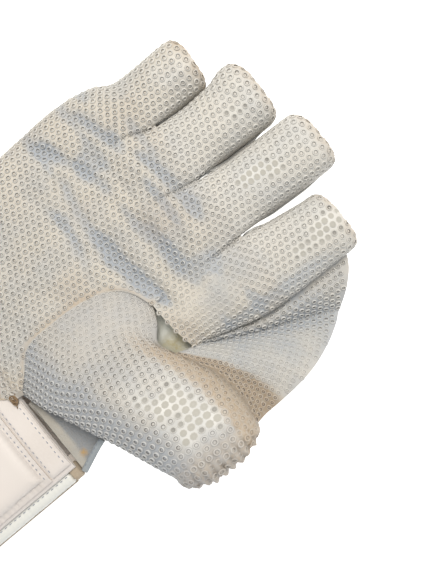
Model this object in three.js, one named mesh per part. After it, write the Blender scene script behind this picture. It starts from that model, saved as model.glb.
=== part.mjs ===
// A wicketkeeping glove for the right hand, lying on its back with the palm up. Millimetres.
// X runs across the hand towards the thumb, Y along it towards the fingertips, and Z up.
// Each sheet of rubber or leather is a grid of pairs of points, one on its outer face and one on
// its inner face, so a wall keeps its thickness round a finger and its cut edge lies on a seam.

import * as THREE from "three";

// The hand
const palmLength = 153; // cuff line to the finger crotches
const palmDepth = 46; // floor to the palm at the finger roots
const wristWidth = 160;
const palmSwell = 10; // how far the little-finger edge bows outwards
const notchLength = 90; // cuff line to the hole between thumb and palm
const seamInset = 25; // the thumb seam, inwards from the line between middle and index
const webTuck = 11.5; // the index side, pulled in at the root of the web
const rimLift = 7; // the palm's edge over the hole, rising towards the index side
const rimReach = 25; // how far up the index side that rise dies away
const restPlace = 60; // cuff line to the origin, which is on the flat underside of the back

// Walls and gaps
const rubberWall = 2.4;
const leatherWall = 2;
const backPad = 6; // leather, foam and cloth behind the hand
const clearance = 0.3;
const slitWidth = 1.6; // between two stalls at their crotch

// The four finger stalls, from the little finger to the index
const fingerLength = 68; // of the middle stall, past the crotches
const fingerWidth = 40; // of the middle stall at its root
const fingerLean = 3; // towards the thumb, at the tip
const fingerSlant = 1; // the tip's thumb side, past its other side
const fingerDepth = 34;
const sideDrop = 17; // from a stall's top down to the rubber's edge
const sideReach = 40; // how far up the index side the rubber's edge is still coming down
const crotchDrop = 5; // the same drop at a crotch, where the rubber has hardly turned down
const wrapLength = 22; // along a stall until the rubber is fully turned down
const fingerPitch = 14; // degrees, how far the fingers rise off the floor
const pitchBend = 12; // radius-like length over which they start to rise
const tipRound = 11; // length of the closed end
const shoulderStart = 0.6; // of a stall's length, where its side away from the thumb swells out
const shoulderRun = 0.25; // of its length, until it has swollen by the stall's shoulder
// Each stall's sizes as shares of fingerLength, fingerWidth, fingerLean, fingerSlant and, for
// shoulder, of fingerWidth again.
const stalls = [
  { name: "little", length: 0.58, width: 0.9, tipWidth: 0.86, lean: 0.3, slant: 0, shoulder: 0 },
  { name: "ring", length: 0.86, width: 0.95, tipWidth: 0.975, lean: 0.15, slant: 1, shoulder: 0.07 },
  { name: "middle", length: 1, width: 1, tipWidth: 0.95, lean: 0.87, slant: 1, shoulder: 0 },
  { name: "index", length: 0.75, width: 1.15, tipWidth: 0.95, lean: 1, slant: 0.5, shoulder: 0 },
];
const fingers = stalls.map((s) => ({
  length: s.length * fingerLength,
  width: s.width * fingerWidth,
  tipWidth: s.tipWidth * fingerWidth,
  lean: s.lean * fingerLean,
  slant: s.slant * fingerSlant,
  shoulder: s.shoulder * fingerWidth,
}));

// The thumb
const thumbReach = 124; // palm seam to thumb tip
const thumbWidth = 64;
const thumbHeight = 74; // floor to the crest near the tip
const thumbDrop = 28; // crest to the rubber's edge near the tip
const thumbDepth = 52; // crest to the back of the thumb near the tip
const thumbTipRound = 15;
const thumbBackLift = 7; // floor to the leather behind the thumb, at its root

// The web
const webFold = 11; // depth of its main crease at the free edge
const webBulge = 15; // how far its free edge bows out
const webSkew = 0.82; // below 1 the bow is fullest nearer the index side
const webReach = 5; // how far its thumb side runs on round the thumb's tip
const webStart = 1; // from the hole's edge to the web's root

// The leather in the gussets
const crotchSag = 7;
const crotchInset = 2; // its edge, in under the palm
const gussetSag = 2;
const gussetTuck = 1.5; // under the edge of the thumb rubber
const gussetReach = 1; // past the end of that edge
const gussetDrop = 6; // its upper corner, below the palm

// The cuff
const cuffLength = 90;
const cuffWidth = 158; // over the panels, without the side bindings
const cuffFlare = 6; // extra width at the open end
const cuffDepth = 45;
const cuffRise = 4; // extra depth at the open end
const cuffWall = 5;
const cuffBackWall = 7;
const bindingWidth = 10;
const bindingHeight = 10;
const tabLength = 5.5; // the tab on the corner beside the thumb
const stripWidth = 4.5; // the strip sewn to the wrist gusset's edge
const stripHeight = 4;
const stripLength = 19;
const bandWidth = 13;
const bandWall = 1.4;
const padWall = 3.5;
const thinEdge = 0.9; // where the band and the pad are sewn down
const padMargin = 3; // bare panel between the band and the pad
const hemLength = 7;
const hemWall = 9;

// Folds
const foldHeight = 3;
const foldWidth = 6;

// Mesh steps
const stallSteps = 8; // across each finger's half section
const kneeRows = 11; // rows between the hole and the crotches
const fingerRows = 4;
const tipSteps = 4;
const thumbSteps = 12;
const thumbRows = 10;
const thumbBackRows = 4;
const webRoot = 3.5; // the thumb row where the web starts
const webSteps = 12;
const cuffSteps = 16;
const cuffRows = 4;
const padInset = 4; // steps of the cuff's section between its side and the pad
const bandInset = 3;
const barSides = 10;
const stripSteps = 3;
const hemSteps = 32;
const hemProfile = 6;

// Shares of palmLength where things start
const valleyStart = 0.78; // the valleys between the knuckles
const ridgeStart = 0.91; // the ridges of the back that rise to them
const sideReturn = 0.9; // the little-finger side, coming back in to its stall
const openEnd = 0.6; // the back's edge, from the open thumb side to the index stall
const openRun = 0.05; // the length of that change

// Shares of thumbReach over which the thumb leaves the palm's height and turns its sides down
const crestRun = 0.2;
const turnRun = 0.12;

// The line where the cuff's two panels meet, as a share of cuffDepth
const cuffSeamShare = 0.76;

// Where the palm's folds run: ends as shares of the half hand width and of palmLength, the height
// as a share of foldHeight, the breadth as a share of foldWidth, and bow as a share of the run.
const folds = [
  { x1: -0.98, y1: 0.61, x2: -0.45, y2: 0.71, height: -1.0, breadth: 0.9, bow: 0.05 },
  { x1: -0.5, y1: 0.61, x2: 0.42, y2: 0.62, height: -0.9, breadth: 0.9, bow: -0.06 },
  { x1: -0.98, y1: 0.79, x2: -0.6, y2: 0.84, height: -0.6, breadth: 0.7, bow: 0 },
  { x1: -0.52, y1: 0.87, x2: 0.15, y2: 0.93, height: -0.9, breadth: 0.8, bow: -0.05 },
  { x1: -0.35, y1: 0.77, x2: 0.4, y2: 0.73, height: -0.6, breadth: 0.8, bow: 0 },
  { x1: -0.8, y1: 0.56, x2: -0.2, y2: 0.61, height: 0.6, breadth: 1.0, bow: 0 },
  { x1: -0.8, y1: 0.66, x2: 0.2, y2: 0.79, height: 0.8, breadth: 1.0, bow: 0.04 },
  { x1: -0.6, y1: 0.85, x2: 0.55, y2: 0.82, height: 0.9, breadth: 0.9, bow: 0.06 },
  { x1: 0.58, y1: 0.84, x2: 0.66, y2: 0.62, height: 0.9, breadth: 1.3, bow: 0 },
  { x1: -0.3, y1: 0.67, x2: 0.38, y2: 0.68, height: 0.5, breadth: 0.8, bow: 0 },
  { x1: 0.88, y1: 0.7, x2: 0.91, y2: 1.2, height: -0.8, breadth: 0.6, bow: 0 },
];

// The palm's height along the hand, as a share of palmDepth.
const palmLevels = [
  { at: 0, level: 0.88 },
  { at: 0.2, level: 0.95 },
  { at: 0.45, level: 0.98 },
  { at: 0.65, level: 0.92 },
  { at: 0.85, level: 0.97 },
  { at: 1, level: 1 },
];

// The thumb seam on the palm: at is a share of notchLength, inset a share of seamInset.
const seamRows = [
  { at: 0, inset: 0.2 },
  { at: 0.09, inset: 0.52 },
  { at: 0.22, inset: 0.95 },
  { at: 0.45, inset: 1.03 },
  { at: 0.7, inset: 0.97 },
  { at: 0.87, inset: 0.76 },
  { at: 0.96, inset: 0.4 },
  { at: 1, inset: 0 },
];

// The right edge of the glove's back: at is a share of palmLength, inset a share of webTuck from
// the index edge, and level a share of palmDepth. It is low where the thumb opens out of the hand.
const backEdgeRows = [
  { at: 0, inset: -0.6, level: 0.68 },
  { at: 0.13, inset: 0.12, level: 0.64 },
  { at: 0.22, inset: 0.27, level: 0.2 },
  { at: 0.5, inset: 0.6, level: 0.2 },
  { at: 0.57, inset: 0.85, level: 0.4 },
  { at: 0.62, inset: 0.98, level: 0.72 },
];

// Sections of the thumb: at is a share of thumbReach, centre of palmLength, half of thumbWidth,
// crest of thumbHeight, and upper and lower, the drops to the rubber's two edges, of thumbDrop.
const thumbSections = [
  { at: 0, centre: 0.294, half: 0.703, crest: 0.6, upper: 0.1, lower: 0.12 },
  { at: 0.1, centre: 0.292, half: 0.645, crest: 0.64, upper: 0.16, lower: 0.22 },
  { at: 0.21, centre: 0.291, half: 0.547, crest: 0.68, upper: 0.25, lower: 0.36 },
  { at: 0.41, centre: 0.353, half: 0.547, crest: 0.785, upper: 0.43, lower: 0.64 },
  { at: 0.55, centre: 0.397, half: 0.543, crest: 0.865, upper: 0.64, lower: 0.86 },
  { at: 0.74, centre: 0.436, half: 0.496, crest: 0.953, upper: 0.88, lower: 1 },
  { at: 0.88, centre: 0.454, half: 0.43, crest: 1, upper: 1, lower: 1 },
  { at: 1, centre: 0.454, half: 0.36, crest: 1, upper: 1, lower: 1 },
];

// The web's creases from the index side (0) to the thumb (1), as shares of webFold.
const webCreases = [
  { at: 0, lift: 0 },
  { at: 0.13, lift: -0.4 },
  { at: 0.27, lift: -1 },
  { at: 0.45, lift: -0.35 },
  { at: 0.65, lift: 0.2 },
  { at: 0.84, lift: -0.2 },
  { at: 0.93, lift: -0.45 },
  { at: 1, lift: 0 },
];

const clamp = (value) => Math.min(1, Math.max(0, value));
const mix = (a, b, share) => a + (b - a) * share;
const steps = (count) => Array.from({ length: count + 1 }, (_, i) => i);
const smooth = (value) => clamp(value) ** 2 * (3 - 2 * clamp(value));
const point = (x, y, z) => new THREE.Vector3(x, y, z);

// A table's column at a place along it, on a smooth curve through its rows.
function read(table, column, at) {
  const last = table.length - 1;
  let i = 0;
  while (i < last - 1 && at > table[i + 1].at) i += 1;
  const slope = (j) => {
    const a = table[Math.max(0, j - 1)];
    const b = table[Math.min(last, j + 1)];
    return (b[column] - a[column]) / (b.at - a.at);
  };
  const [a, b] = [table[i], table[i + 1]];
  const span = b.at - a.at;
  const t = clamp((at - a.at) / span);
  return (
    (2 * t ** 3 - 3 * t ** 2 + 1) * a[column] +
    (t ** 3 - 2 * t ** 2 + t) * span * slope(i) +
    (3 * t ** 2 - 2 * t ** 3) * b[column] +
    (t ** 3 - t ** 2) * span * slope(i + 1)
  );
}

// Powers of the rounded sections
const stallPower = 2.6;
const backPower = 3;
const tipPower = 4;
const thumbPower = 2.3;
const thumbTipPower = 2.6;
const cuffPower = 3.4;
const barPower = 3;

// The superellipse's cosine and sine: power 2 is an ellipse, and a higher power is squarer.
const squareCos = (angle, power) =>
  Math.sign(Math.cos(angle)) * Math.abs(Math.cos(angle)) ** (2 / power);
const squareSin = (angle, power) => Math.abs(Math.sin(angle)) ** (2 / power);

// Closes patches of paired points into one solid. Points that two patches share are joined, and
// an edge that only one cell has gets a rim wall from the outer face to the inner one.
function closeSheet(patches, facesDown = false) {
  const pairs = [];
  const found = new Map();
  const indexOf = (pair) => {
    const key = [...pair.outer, ...pair.inner].map((v) => v.toFixed(3)).join();
    if (!found.has(key)) found.set(key, pairs.push(pair) - 1);
    return found.get(key);
  };
  const cells = [];
  for (const patch of patches) {
    const ids = patch.map((row) => row.map(indexOf));
    for (let r = 0; r + 1 < ids.length; r += 1)
      for (let c = 0; c + 1 < ids[r].length; c += 1) {
        const [a, b, d, e] = [ids[r][c], ids[r][c + 1], ids[r + 1][c + 1], ids[r + 1][c]];
        cells.push([a, b, d], [a, d, e]);
      }
  }
  const count = pairs.length;
  const faces = cells.filter(([a, b, c]) => a !== b && b !== c && c !== a);
  const edges = new Set();
  for (const [a, b, c] of faces) for (const e of [[a, b], [b, c], [c, a]]) edges.add(e.join());
  const index = [];
  for (const [a, b, c] of faces) {
    index.push(a, b, c, count + a, count + c, count + b);
    for (const [u, v] of [[a, b], [b, c], [c, a]])
      if (!edges.has([v, u].join())) index.push(v, u, count + u, v, count + u, count + v);
  }
  if (facesDown) index.reverse();
  return geometryOf([...pairs.map((p) => p.outer), ...pairs.map((p) => p.inner)], index);
}

function geometryOf(points, index) {
  const geometry = new THREE.BufferGeometry().setFromPoints(points);
  geometry.setIndex(index);
  geometry.computeVertexNormals();
  return geometry;
}

// Gives a grid of points a wall, measured along the grid's own normals.
function thicken(grid, wall, rise = () => 0) {
  const last = [grid.length - 1, grid[0].length - 1];
  return grid.map((row, r) =>
    row.map((p, c) => {
      const across = row[Math.min(last[1], c + 1)].clone().sub(row[Math.max(0, c - 1)]);
      const along = grid[Math.min(last[0], r + 1)][c].clone();
      along.sub(grid[Math.max(0, r - 1)][c]);
      const normal = across.cross(along).normalize();
      const outer = p.clone().addScaledVector(normal, rise(r / last[0], c / last[1]));
      return { outer, inner: p.clone().addScaledVector(normal, -wall) };
    }),
  );
}

const gridOf = (rows, columns, at) =>
  Array.from({ length: rows + 1 }, (_, r) =>
    Array.from({ length: columns + 1 }, (_, c) => at(r / rows, c / columns)),
  );

// How far a place along the hand is past a start, both starts and runs as shares of palmLength.
const after = (start, run, y) => smooth((y / palmLength - start) / run);

// The hand's outline
const knuckleWidth = fingers.reduce((sum, f) => sum + f.width, 0);
fingers.forEach((f, k) => {
  f.left = fingers.slice(0, k).reduce((x, g) => x + g.width, -knuckleWidth / 2);
  f.right = f.left + f.width;
});
const indexRoot = fingers[3].left; // the line between the middle and the index stall
const riseSlope = Math.tan(THREE.MathUtils.degToRad(fingerPitch));
const riseAt = (y) => {
  const d = Math.max(0, y - palmLength);
  return riseSlope * (Math.hypot(d, pitchBend) - pitchBend);
};
const littleEdge = (y) => {
  const share = clamp(y / palmLength);
  const half = mix(wristWidth / 2, knuckleWidth / 2, share);
  return -half - palmSwell * Math.sin(Math.PI * share ** 2);
};
const indexEdge = (y) => {
  const share = (y - notchLength) / (palmLength - notchLength);
  return knuckleWidth / 2 - slitWidth / 2 - webTuck * (1 - smooth(share)) ** 1.3;
};
const thumbSeam = (y) =>
  indexRoot - slitWidth / 2 - seamInset * read(seamRows, "inset", y / notchLength);
const seamPlace = (step) =>
  (notchLength / 2) * (1 - squareCos(Math.PI * (1 - step / thumbSteps), thumbPower));
const backEdge = (y) => {
  const inset = read(backEdgeRows, "inset", y / palmLength);
  const low = knuckleWidth / 2 - slitWidth / 2 - webTuck * inset;
  return mix(low, indexEdge(y), after(openEnd, openRun, y));
};
const topAt = (y) =>
  palmDepth * read(palmLevels, "level", clamp(y / palmLength)) + riseAt(y);
const rootShare = (y) => after(valleyStart, 1 - valleyStart, y);
const ridgeShare = (y) => after(ridgeStart, 1 - ridgeStart, y);
const floorAt = (y) => (palmDepth - fingerDepth) * rootShare(y) + riseAt(y);

function foldAt(x, y) {
  const half = knuckleWidth / 2;
  let sum = 0;
  for (const f of folds) {
    const [x1, y1, x2, y2] = [f.x1 * half, f.y1 * palmLength, f.x2 * half, f.y2 * palmLength];
    const run = Math.hypot(x2 - x1, y2 - y1);
    const along = ((x - x1) * (x2 - x1) + (y - y1) * (y2 - y1)) / run / run;
    const bowed = f.bow * run * (1 - (2 * along - 1) ** 2);
    const off = ((y - y1) * (x2 - x1) - (x - x1) * (y2 - y1)) / run - bowed;
    const ends = smooth((0.5 - Math.abs(along - 0.5)) * 4 + 0.5);
    sum += f.height * ends * Math.exp(-((off / (f.breadth * foldWidth)) ** 2));
  }
  return sum * foldHeight;
}

// How far the rubber turns down at a side of a stall, and how far it has become a side wall.
const wrapShare = (y) => smooth((y - palmLength) / wrapLength);
const crotchShare = (y) => smooth((y - palmLength) / (3 * rubberWall));
function dropAt(k, right, y) {
  if (k === 0 && !right) return mix(palmDepth / 2, sideDrop, smooth(y / palmLength));
  if (k === 3 && right) return sideDrop * mix(0.4, 1, smooth((y - notchLength) / sideReach));
  if (y <= palmLength) return crotchDrop * rootShare(y);
  return mix(crotchDrop, sideDrop, wrapShare(y));
}
const isRim = (k, right) => (k === 0 && !right) || (k === 3 && right);

// A stall's section across the hand at the crotches or beyond.
function stallAt(k, y) {
  const f = fingers[k];
  const share = clamp((y - palmLength) / f.length);
  const centre = (f.left + f.right) / 2 + f.lean * share;
  const half = mix((f.width - slitWidth) / 2, f.tipWidth / 2, smooth(share));
  const swell = f.shoulder * smooth((share - shoulderStart) / shoulderRun);
  return { centre: centre - swell / 2, half: half + swell / 2 };
}

// Where a column of the palm lies across the hand: at the crotches the columns are the stalls'
// own, and nearer the wrist they close up between the two edges given.
function columnAt(k, cos, y, edges) {
  const own = stallAt(k, palmLength);
  const x = own.centre + own.half * cos;
  if (y >= palmLength) {
    const s = stallAt(k, y);
    return s.centre + s.half * cos;
  }
  return edges(k, x, y);
}
const rimLeft = -knuckleWidth / 2 + slitWidth / 2;
const rimRight = knuckleWidth / 2 - slitWidth / 2;
const leftRim = (y) => mix(littleEdge(y), rimLeft, after(sideReturn, 1 - sideReturn, y));
function palmEdges(k, x, y) {
  const seamSide = indexRoot - slitWidth / 2;
  if (k === 3) {
    const share = (x - indexRoot - slitWidth / 2) / (rimRight - indexRoot - slitWidth / 2);
    return mix(indexRoot + slitWidth / 2, indexEdge(y), share);
  }
  const right = y < notchLength ? thumbSeam(y) : seamSide;
  return mix(leftRim(y), right, (x - rimLeft) / (seamSide - rimLeft));
}
const backEdges = (k, x, y) =>
  mix(leftRim(y), backEdge(y), (x - rimLeft) / (rimRight - rimLeft));

// A pair of points of the palm rubber. Close is 1 along a stall and falls to 0 at its tip.
function rubberPair(k, step, y, close = 1, tip = 0) {
  const angle = Math.PI * (1 - step / stallSteps);
  const cos = squareCos(angle, stallPower);
  const sin = squareSin(angle, stallPower);
  const right = step > stallSteps / 2;
  const rim = isRim(k, right);
  const drop = dropAt(k, right, y);
  const turned = rim ? 1 : crotchShare(y);
  const inset = rubberWall * cos * (rim ? 1 : rootShare(y));
  let x = columnAt(k, cos, y, palmEdges);
  if (close < 1) x = stallAt(k, y).centre + stallAt(k, y).half * cos * close;
  const top = topAt(y);
  const seam = top - drop;
  const fold = foldAt(x, y) * sin * close * (1 - rootShare(y) * 0.6);
  const outerZ = top - drop * (1 - sin) + fold;
  const innerZ = top - rubberWall - (drop - rubberWall * turned) * (1 - sin) + fold;
  const slant = fingers[k].slant * cos * close * smooth((y - palmLength) / wrapLength);
  const rimUp = k === 3 && y < palmLength ? rimShift(x, y) : 0;
  return {
    outer: point(x, y + tip * tipRound + slant + rimUp, mix(seam, outerZ, close)),
    inner: point(
      x - inset * close,
      y + tip * (tipRound - rubberWall) + slant + rimUp,
      mix(seam, innerZ, close),
    ),
  };
}
const rimShift = (x, y) => {
  const share = clamp((x - indexRoot) / (rimRight - indexRoot));
  return rimLift * share ** 2 * (1 - smooth((y - notchLength) / rimReach));
};

// A pair of points of the glove's back, which meets the rubber's edge a clearance below it.
function backPair(k, step, y, close = 1, tip = 0) {
  const angle = Math.PI * (1 - step / stallSteps);
  const cos = squareCos(angle, backPower);
  const sin = squareSin(angle, backPower);
  const right = step > stallSteps / 2;
  const rim = isRim(k, right);
  const low = floorAt(y);
  const turned = rim ? 1 : crotchShare(y);
  let seam = topAt(y) - dropAt(k, right, y);
  if (k === 3 && right && y < palmLength) {
    const open = palmDepth * read(backEdgeRows, "level", y / palmLength);
    seam = mix(open, seam, after(openEnd, openRun, y));
  }
  let edgeIn = seam - clearance - rubberWall * (1 - turned);
  let edgeOut = edgeIn - leatherWall * (1 - turned);
  if (!rim && y < palmLength) {
    edgeIn = mix(low + backPad, edgeIn, ridgeShare(y));
    edgeOut = mix(low, edgeOut, ridgeShare(y));
  }
  let x = columnAt(k, cos, y, backEdges);
  if (close < 1) x = stallAt(k, y).centre + stallAt(k, y).half * cos * close;
  const inset = leatherWall * cos * (rim ? 1 : ridgeShare(y));
  const outerZ = low + (edgeOut - low) * (1 - sin);
  const innerZ = low + backPad + (edgeIn - low - backPad) * (1 - sin);
  const slant = fingers[k].slant * cos * close * smooth((y - palmLength) / wrapLength);
  return {
    outer: point(x, y + tip * tipRound + slant, mix(seam - clearance, outerZ, close)),
    inner: point(
      x - inset * close,
      y + tip * (tipRound - leatherWall) + slant,
      mix(seam - clearance, innerZ, close),
    ),
  };
}

// The rows and patches of a sheet that covers the hand: pair gives its points.
const handRow = (pair, count, y) =>
  fingers.slice(0, count).flatMap((f, k) => steps(stallSteps).map((step) => pair(k, step, y)));
const kneePlaces = steps(kneeRows).map((r) => mix(notchLength, palmLength, r / kneeRows));
function stallPatch(pair, k) {
  const straight = fingers[k].length - tipRound;
  const rows = steps(fingerRows).map((r) =>
    steps(stallSteps).map((s) => pair(k, s, palmLength + straight * (r / fingerRows) ** 1.25)),
  );
  for (let t = 1; t <= tipSteps; t += 1) {
    const turn = (t / tipSteps) * (Math.PI / 2);
    const close = t === tipSteps ? 0 : squareCos(turn, tipPower);
    const tip = squareSin(turn, tipPower);
    rows.push(steps(stallSteps).map((s) => pair(k, s, palmLength + straight, close, tip)));
  }
  return rows;
}

function palmRubber() {
  const heel = steps(thumbSteps).map((r) => handRow(rubberPair, 3, seamPlace(thumbSteps - r)));
  const knee = kneePlaces.map((y) => handRow(rubberPair, 4, y));
  const closed = fingers.map((f, k) => stallPatch(rubberPair, k));
  return closeSheet([heel, knee, ...closed]);
}

function backLeather() {
  const heel = [0, 0.12, 0.3, 0.6, 0.85].map((share) => share * notchLength);
  const hand = [...heel, ...kneePlaces].map((y) => handRow(backPair, 4, y));
  const closed = fingers.map((f, k) => stallPatch(backPair, k));
  return closeSheet([hand, ...closed], true);
}

// The thumb
const thumbEnd = thumbSeam(notchLength / 2) + thumbReach - thumbTipRound;
const tipShare = 1 - thumbTipRound / thumbReach;
function thumbAt(share, step) {
  const angle = Math.PI * (1 - step / thumbSteps);
  const cos = squareCos(angle, thumbPower);
  const base = seamPlace(step);
  const slope = thumbSeam(base + 0.5) - thumbSeam(base - 0.5);
  const start = thumbSeam(base) + clearance * Math.hypot(1, slope);
  const centre = palmLength * read(thumbSections, "centre", share);
  const half = thumbWidth * read(thumbSections, "half", share);
  const high = thumbHeight * read(thumbSections, "crest", share);
  const crest = mix(topAt(base), high, smooth(share / crestRun));
  const drop = thumbDrop * read(thumbSections, cos < 0 ? "upper" : "lower", share);
  return { x: mix(start, thumbEnd, share / tipShare), centre, half, crest, drop, cos, start };
}
function thumbRubberPair(share, step, close = 1, tip = 0) {
  const s = thumbAt(share, step);
  const sin = squareSin(Math.PI * (1 - step / thumbSteps), thumbPower);
  const y = s.centre - s.half * s.cos * close;
  const seam = s.crest - s.drop;
  const turned = smooth(share / turnRun);
  const outerZ = s.crest - s.drop * (1 - sin);
  const innerZ = s.crest - rubberWall - (s.drop - rubberWall * turned) * (1 - sin);
  return {
    outer: point(s.x + tip * thumbTipRound, y, mix(seam, outerZ, close)),
    inner: point(
      s.x + tip * (thumbTipRound - rubberWall),
      y + rubberWall * s.cos * close * turned,
      mix(seam, innerZ, close),
    ),
  };
}
function thumbRubber() {
  const rows = steps(thumbRows).map((r) =>
    steps(thumbSteps).map((s) => thumbRubberPair((tipShare * r) / thumbRows, s)),
  );
  for (let t = 1; t <= tipSteps; t += 1) {
    const turn = (t / tipSteps) * (Math.PI / 2);
    const close = t === tipSteps ? 0 : squareCos(turn, thumbTipPower);
    const tip = squareSin(turn, thumbTipPower);
    rows.push(steps(thumbSteps).map((s) => thumbRubberPair(tipShare, s, close, tip)));
  }
  return closeSheet([rows]);
}

// The leather behind the thumb starts at the back's low right edge.
const thumbBackGap = 2 * clearance;
function thumbBackPair(share, step, close = 1, tip = 0) {
  const angle = Math.PI * (1 - step / thumbSteps);
  const cos = squareCos(angle, thumbPower);
  const root = thumbAt(0.5, step);
  const begin = backEdge(root.centre - root.half * cos) + thumbBackGap;
  const first = (tipShare * (begin - root.start)) / (thumbEnd - root.start);
  const s = thumbAt(mix(first, tipShare, share), step);
  const sin = squareSin(angle, backPower);
  const seam = s.crest - s.drop - clearance;
  const low = mix(thumbBackLift, s.crest - thumbDepth, share ** 1.5);
  const y = s.centre - (s.half - 2 * clearance) * s.cos * close;
  const outerZ = low + (seam - low) * (1 - sin);
  const innerZ = low + leatherWall + (seam - low - leatherWall) * (1 - sin);
  return {
    outer: point(s.x + tip * thumbTipRound, y, mix(seam, outerZ, close)),
    inner: point(
      s.x + tip * (thumbTipRound - leatherWall),
      y + leatherWall * s.cos * close,
      mix(seam, innerZ, close),
    ),
  };
}
function thumbBack() {
  const rows = steps(thumbBackRows).map((r) =>
    steps(thumbSteps).map((s) => thumbBackPair(r / thumbBackRows, s)),
  );
  for (let t = 1; t <= tipSteps; t += 1) {
    const turn = (t / tipSteps) * (Math.PI / 2);
    const close = t === tipSteps ? 0 : squareCos(turn, thumbTipPower);
    const tip = squareSin(turn, thumbTipPower);
    rows.push(steps(thumbSteps).map((s) => thumbBackPair(1, s, close, tip)));
  }
  return closeSheet([rows], true);
}

// The web spans from the index stall's side to the thumb's upper side.
const thumbEdge = (share, upper) =>
  thumbRubberPair(share, upper ? 0 : thumbSteps).outer;
function indexSide(share) {
  const y = mix(notchLength + webStart, palmLength + fingers[3].length - tipRound, share);
  const edge = rubberPair(3, stallSteps, y).outer;
  return edge.add(point(2 * clearance, 0, 0));
}
function thumbSide(share) {
  const place = mix(webRoot, thumbRows, share);
  const row = Math.min(thumbRows - 1, Math.floor(place));
  const [a, b] = [row, row + 1].map((r) => thumbEdge((tipShare * r) / thumbRows, true));
  return a.lerp(b, place - row).add(point(webReach * share ** 6, 2 * clearance, rubberWall));
}
function webRubber() {
  const webRows = 2 * (thumbRows - webRoot);
  const grid = gridOf(webRows, webSteps, (along, across) => {
    const [a, b] = [indexSide(along), thumbSide(along)];
    const p = a.clone().lerp(b, across);
    const [tipA, tipB] = [indexSide(1), thumbSide(1)];
    const out = point(tipA.y - tipB.y, tipB.x - tipA.x, 0).normalize();
    p.addScaledVector(out, webBulge * along ** 2 * Math.sin(Math.PI * across ** webSkew));
    p.z += webFold * along * read(webCreases, "lift", across);
    return p;
  });
  const sheet = thicken(grid, rubberWall);
  for (const row of sheet)
    for (const pair of [row[0], row[row.length - 1]])
      pair.inner.copy(pair.outer).add(point(0, 0, -rubberWall));
  return closeSheet([sheet]);
}

// The leather that shows through the hole between palm, thumb and web.
function crotchLeather() {
  const grid = gridOf(5, 8, (across, along) => {
    const x = mix(indexRoot + crotchInset, indexEdge(notchLength), along);
    const y = notchLength + crotchInset + 0.6 * rimShift(x, notchLength);
    const under = topAt(y) - rubberWall - dropAt(3, true, y) * smooth((along - 0.45) / 0.5);
    const palmSide = point(x, y, under - 3 * clearance - foldHeight * (1 - along));
    const rim = thumbEdge(mix(0.05, 0.35, along), true);
    const thumbSidePoint = point(rim.x, rim.y - 4 * clearance, rim.z - 4 * clearance);
    const p = thumbSidePoint.lerp(palmSide, across);
    p.z -= crotchSag * Math.sin(Math.PI * across) * Math.sin(Math.PI * mix(0.1, 0.95, along));
    return p;
  });
  return closeSheet([thicken(grid, leatherWall)]);
}

// The leather between the cuff and the underside of the thumb.
const wristSeam = palmDepth * backEdgeRows[0].level;
function wristGusset() {
  const grid = gridOf(4, 8, (across, along) => {
    const rim = thumbEdge(mix(0.05, 0.44, along), false);
    const y = mix(clearance, rim.y + gussetTuck, across);
    const flare = along * (backEdge(y) - backEdge(rim.y));
    const x = Math.min(rim.x + gussetReach + flare, backEdge(y) - stripWidth);
    const high = topAt(0) - gussetDrop;
    const level = mix(high, wristSeam + leatherWall + clearance, along ** 1.8);
    return point(x, y, level - gussetSag * Math.sin(Math.PI * across));
  });
  return closeSheet([thicken(grid, leatherWall)]);
}

// The cuff
const cuffSeam = cuffDepth * cuffSeamShare;
const cuffShare = (y) => -y / cuffLength;
const cuffHalf = (y) => cuffWidth / 2 + (cuffFlare / 2) * cuffShare(y);
const cuffTop = (y) => cuffDepth + cuffRise * cuffShare(y);
function cuffPair(upper, y, along) {
  const angle = Math.PI * (1 - along);
  const cos = squareCos(angle, cuffPower);
  const sin = squareSin(angle, cuffPower);
  const gap = bindingHeight / 2;
  const wall = upper ? cuffWall : cuffBackWall;
  const seam = upper ? cuffSeam + gap : cuffSeam - gap;
  const far = upper ? cuffTop(y) : 0;
  const inward = upper ? -wall : wall;
  const x = cuffHalf(y) * cos;
  return {
    outer: point(x, y, mix(seam, far, sin)),
    inner: point(x - wall * cos, y, mix(seam, far + inward, sin)),
  };
}
function cuffPanel(upper) {
  const places = steps(cuffRows).map((r) => -mix(cuffLength, clearance, r / cuffRows));
  const rows = places.map((y) => steps(cuffSteps).map((s) => cuffPair(upper, y, s / cuffSteps)));
  return closeSheet([rows], !upper);
}

// A piece that lies on the cuff's palm side, over the panel's own facets from one step of its
// section to the same step on the other side.
function cuffOverlay(wall, from, yFar, yNear, rows) {
  const columns = cuffSteps - 2 * from;
  const skin = gridOf(rows, columns, (r, c) =>
    cuffPair(true, mix(yFar, yNear, r), (from + c * columns) / cuffSteps).outer,
  );
  const low = (share, count) => clamp(Math.min(share, 1 - share) * count);
  const plump = (r, c) => mix(thinEdge, wall, Math.min(low(r, rows), low(c, columns)));
  const lift = 1.6 * clearance;
  return closeSheet([thicken(skin, -lift, (r, c) => lift + plump(r, c))]);
}

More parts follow.
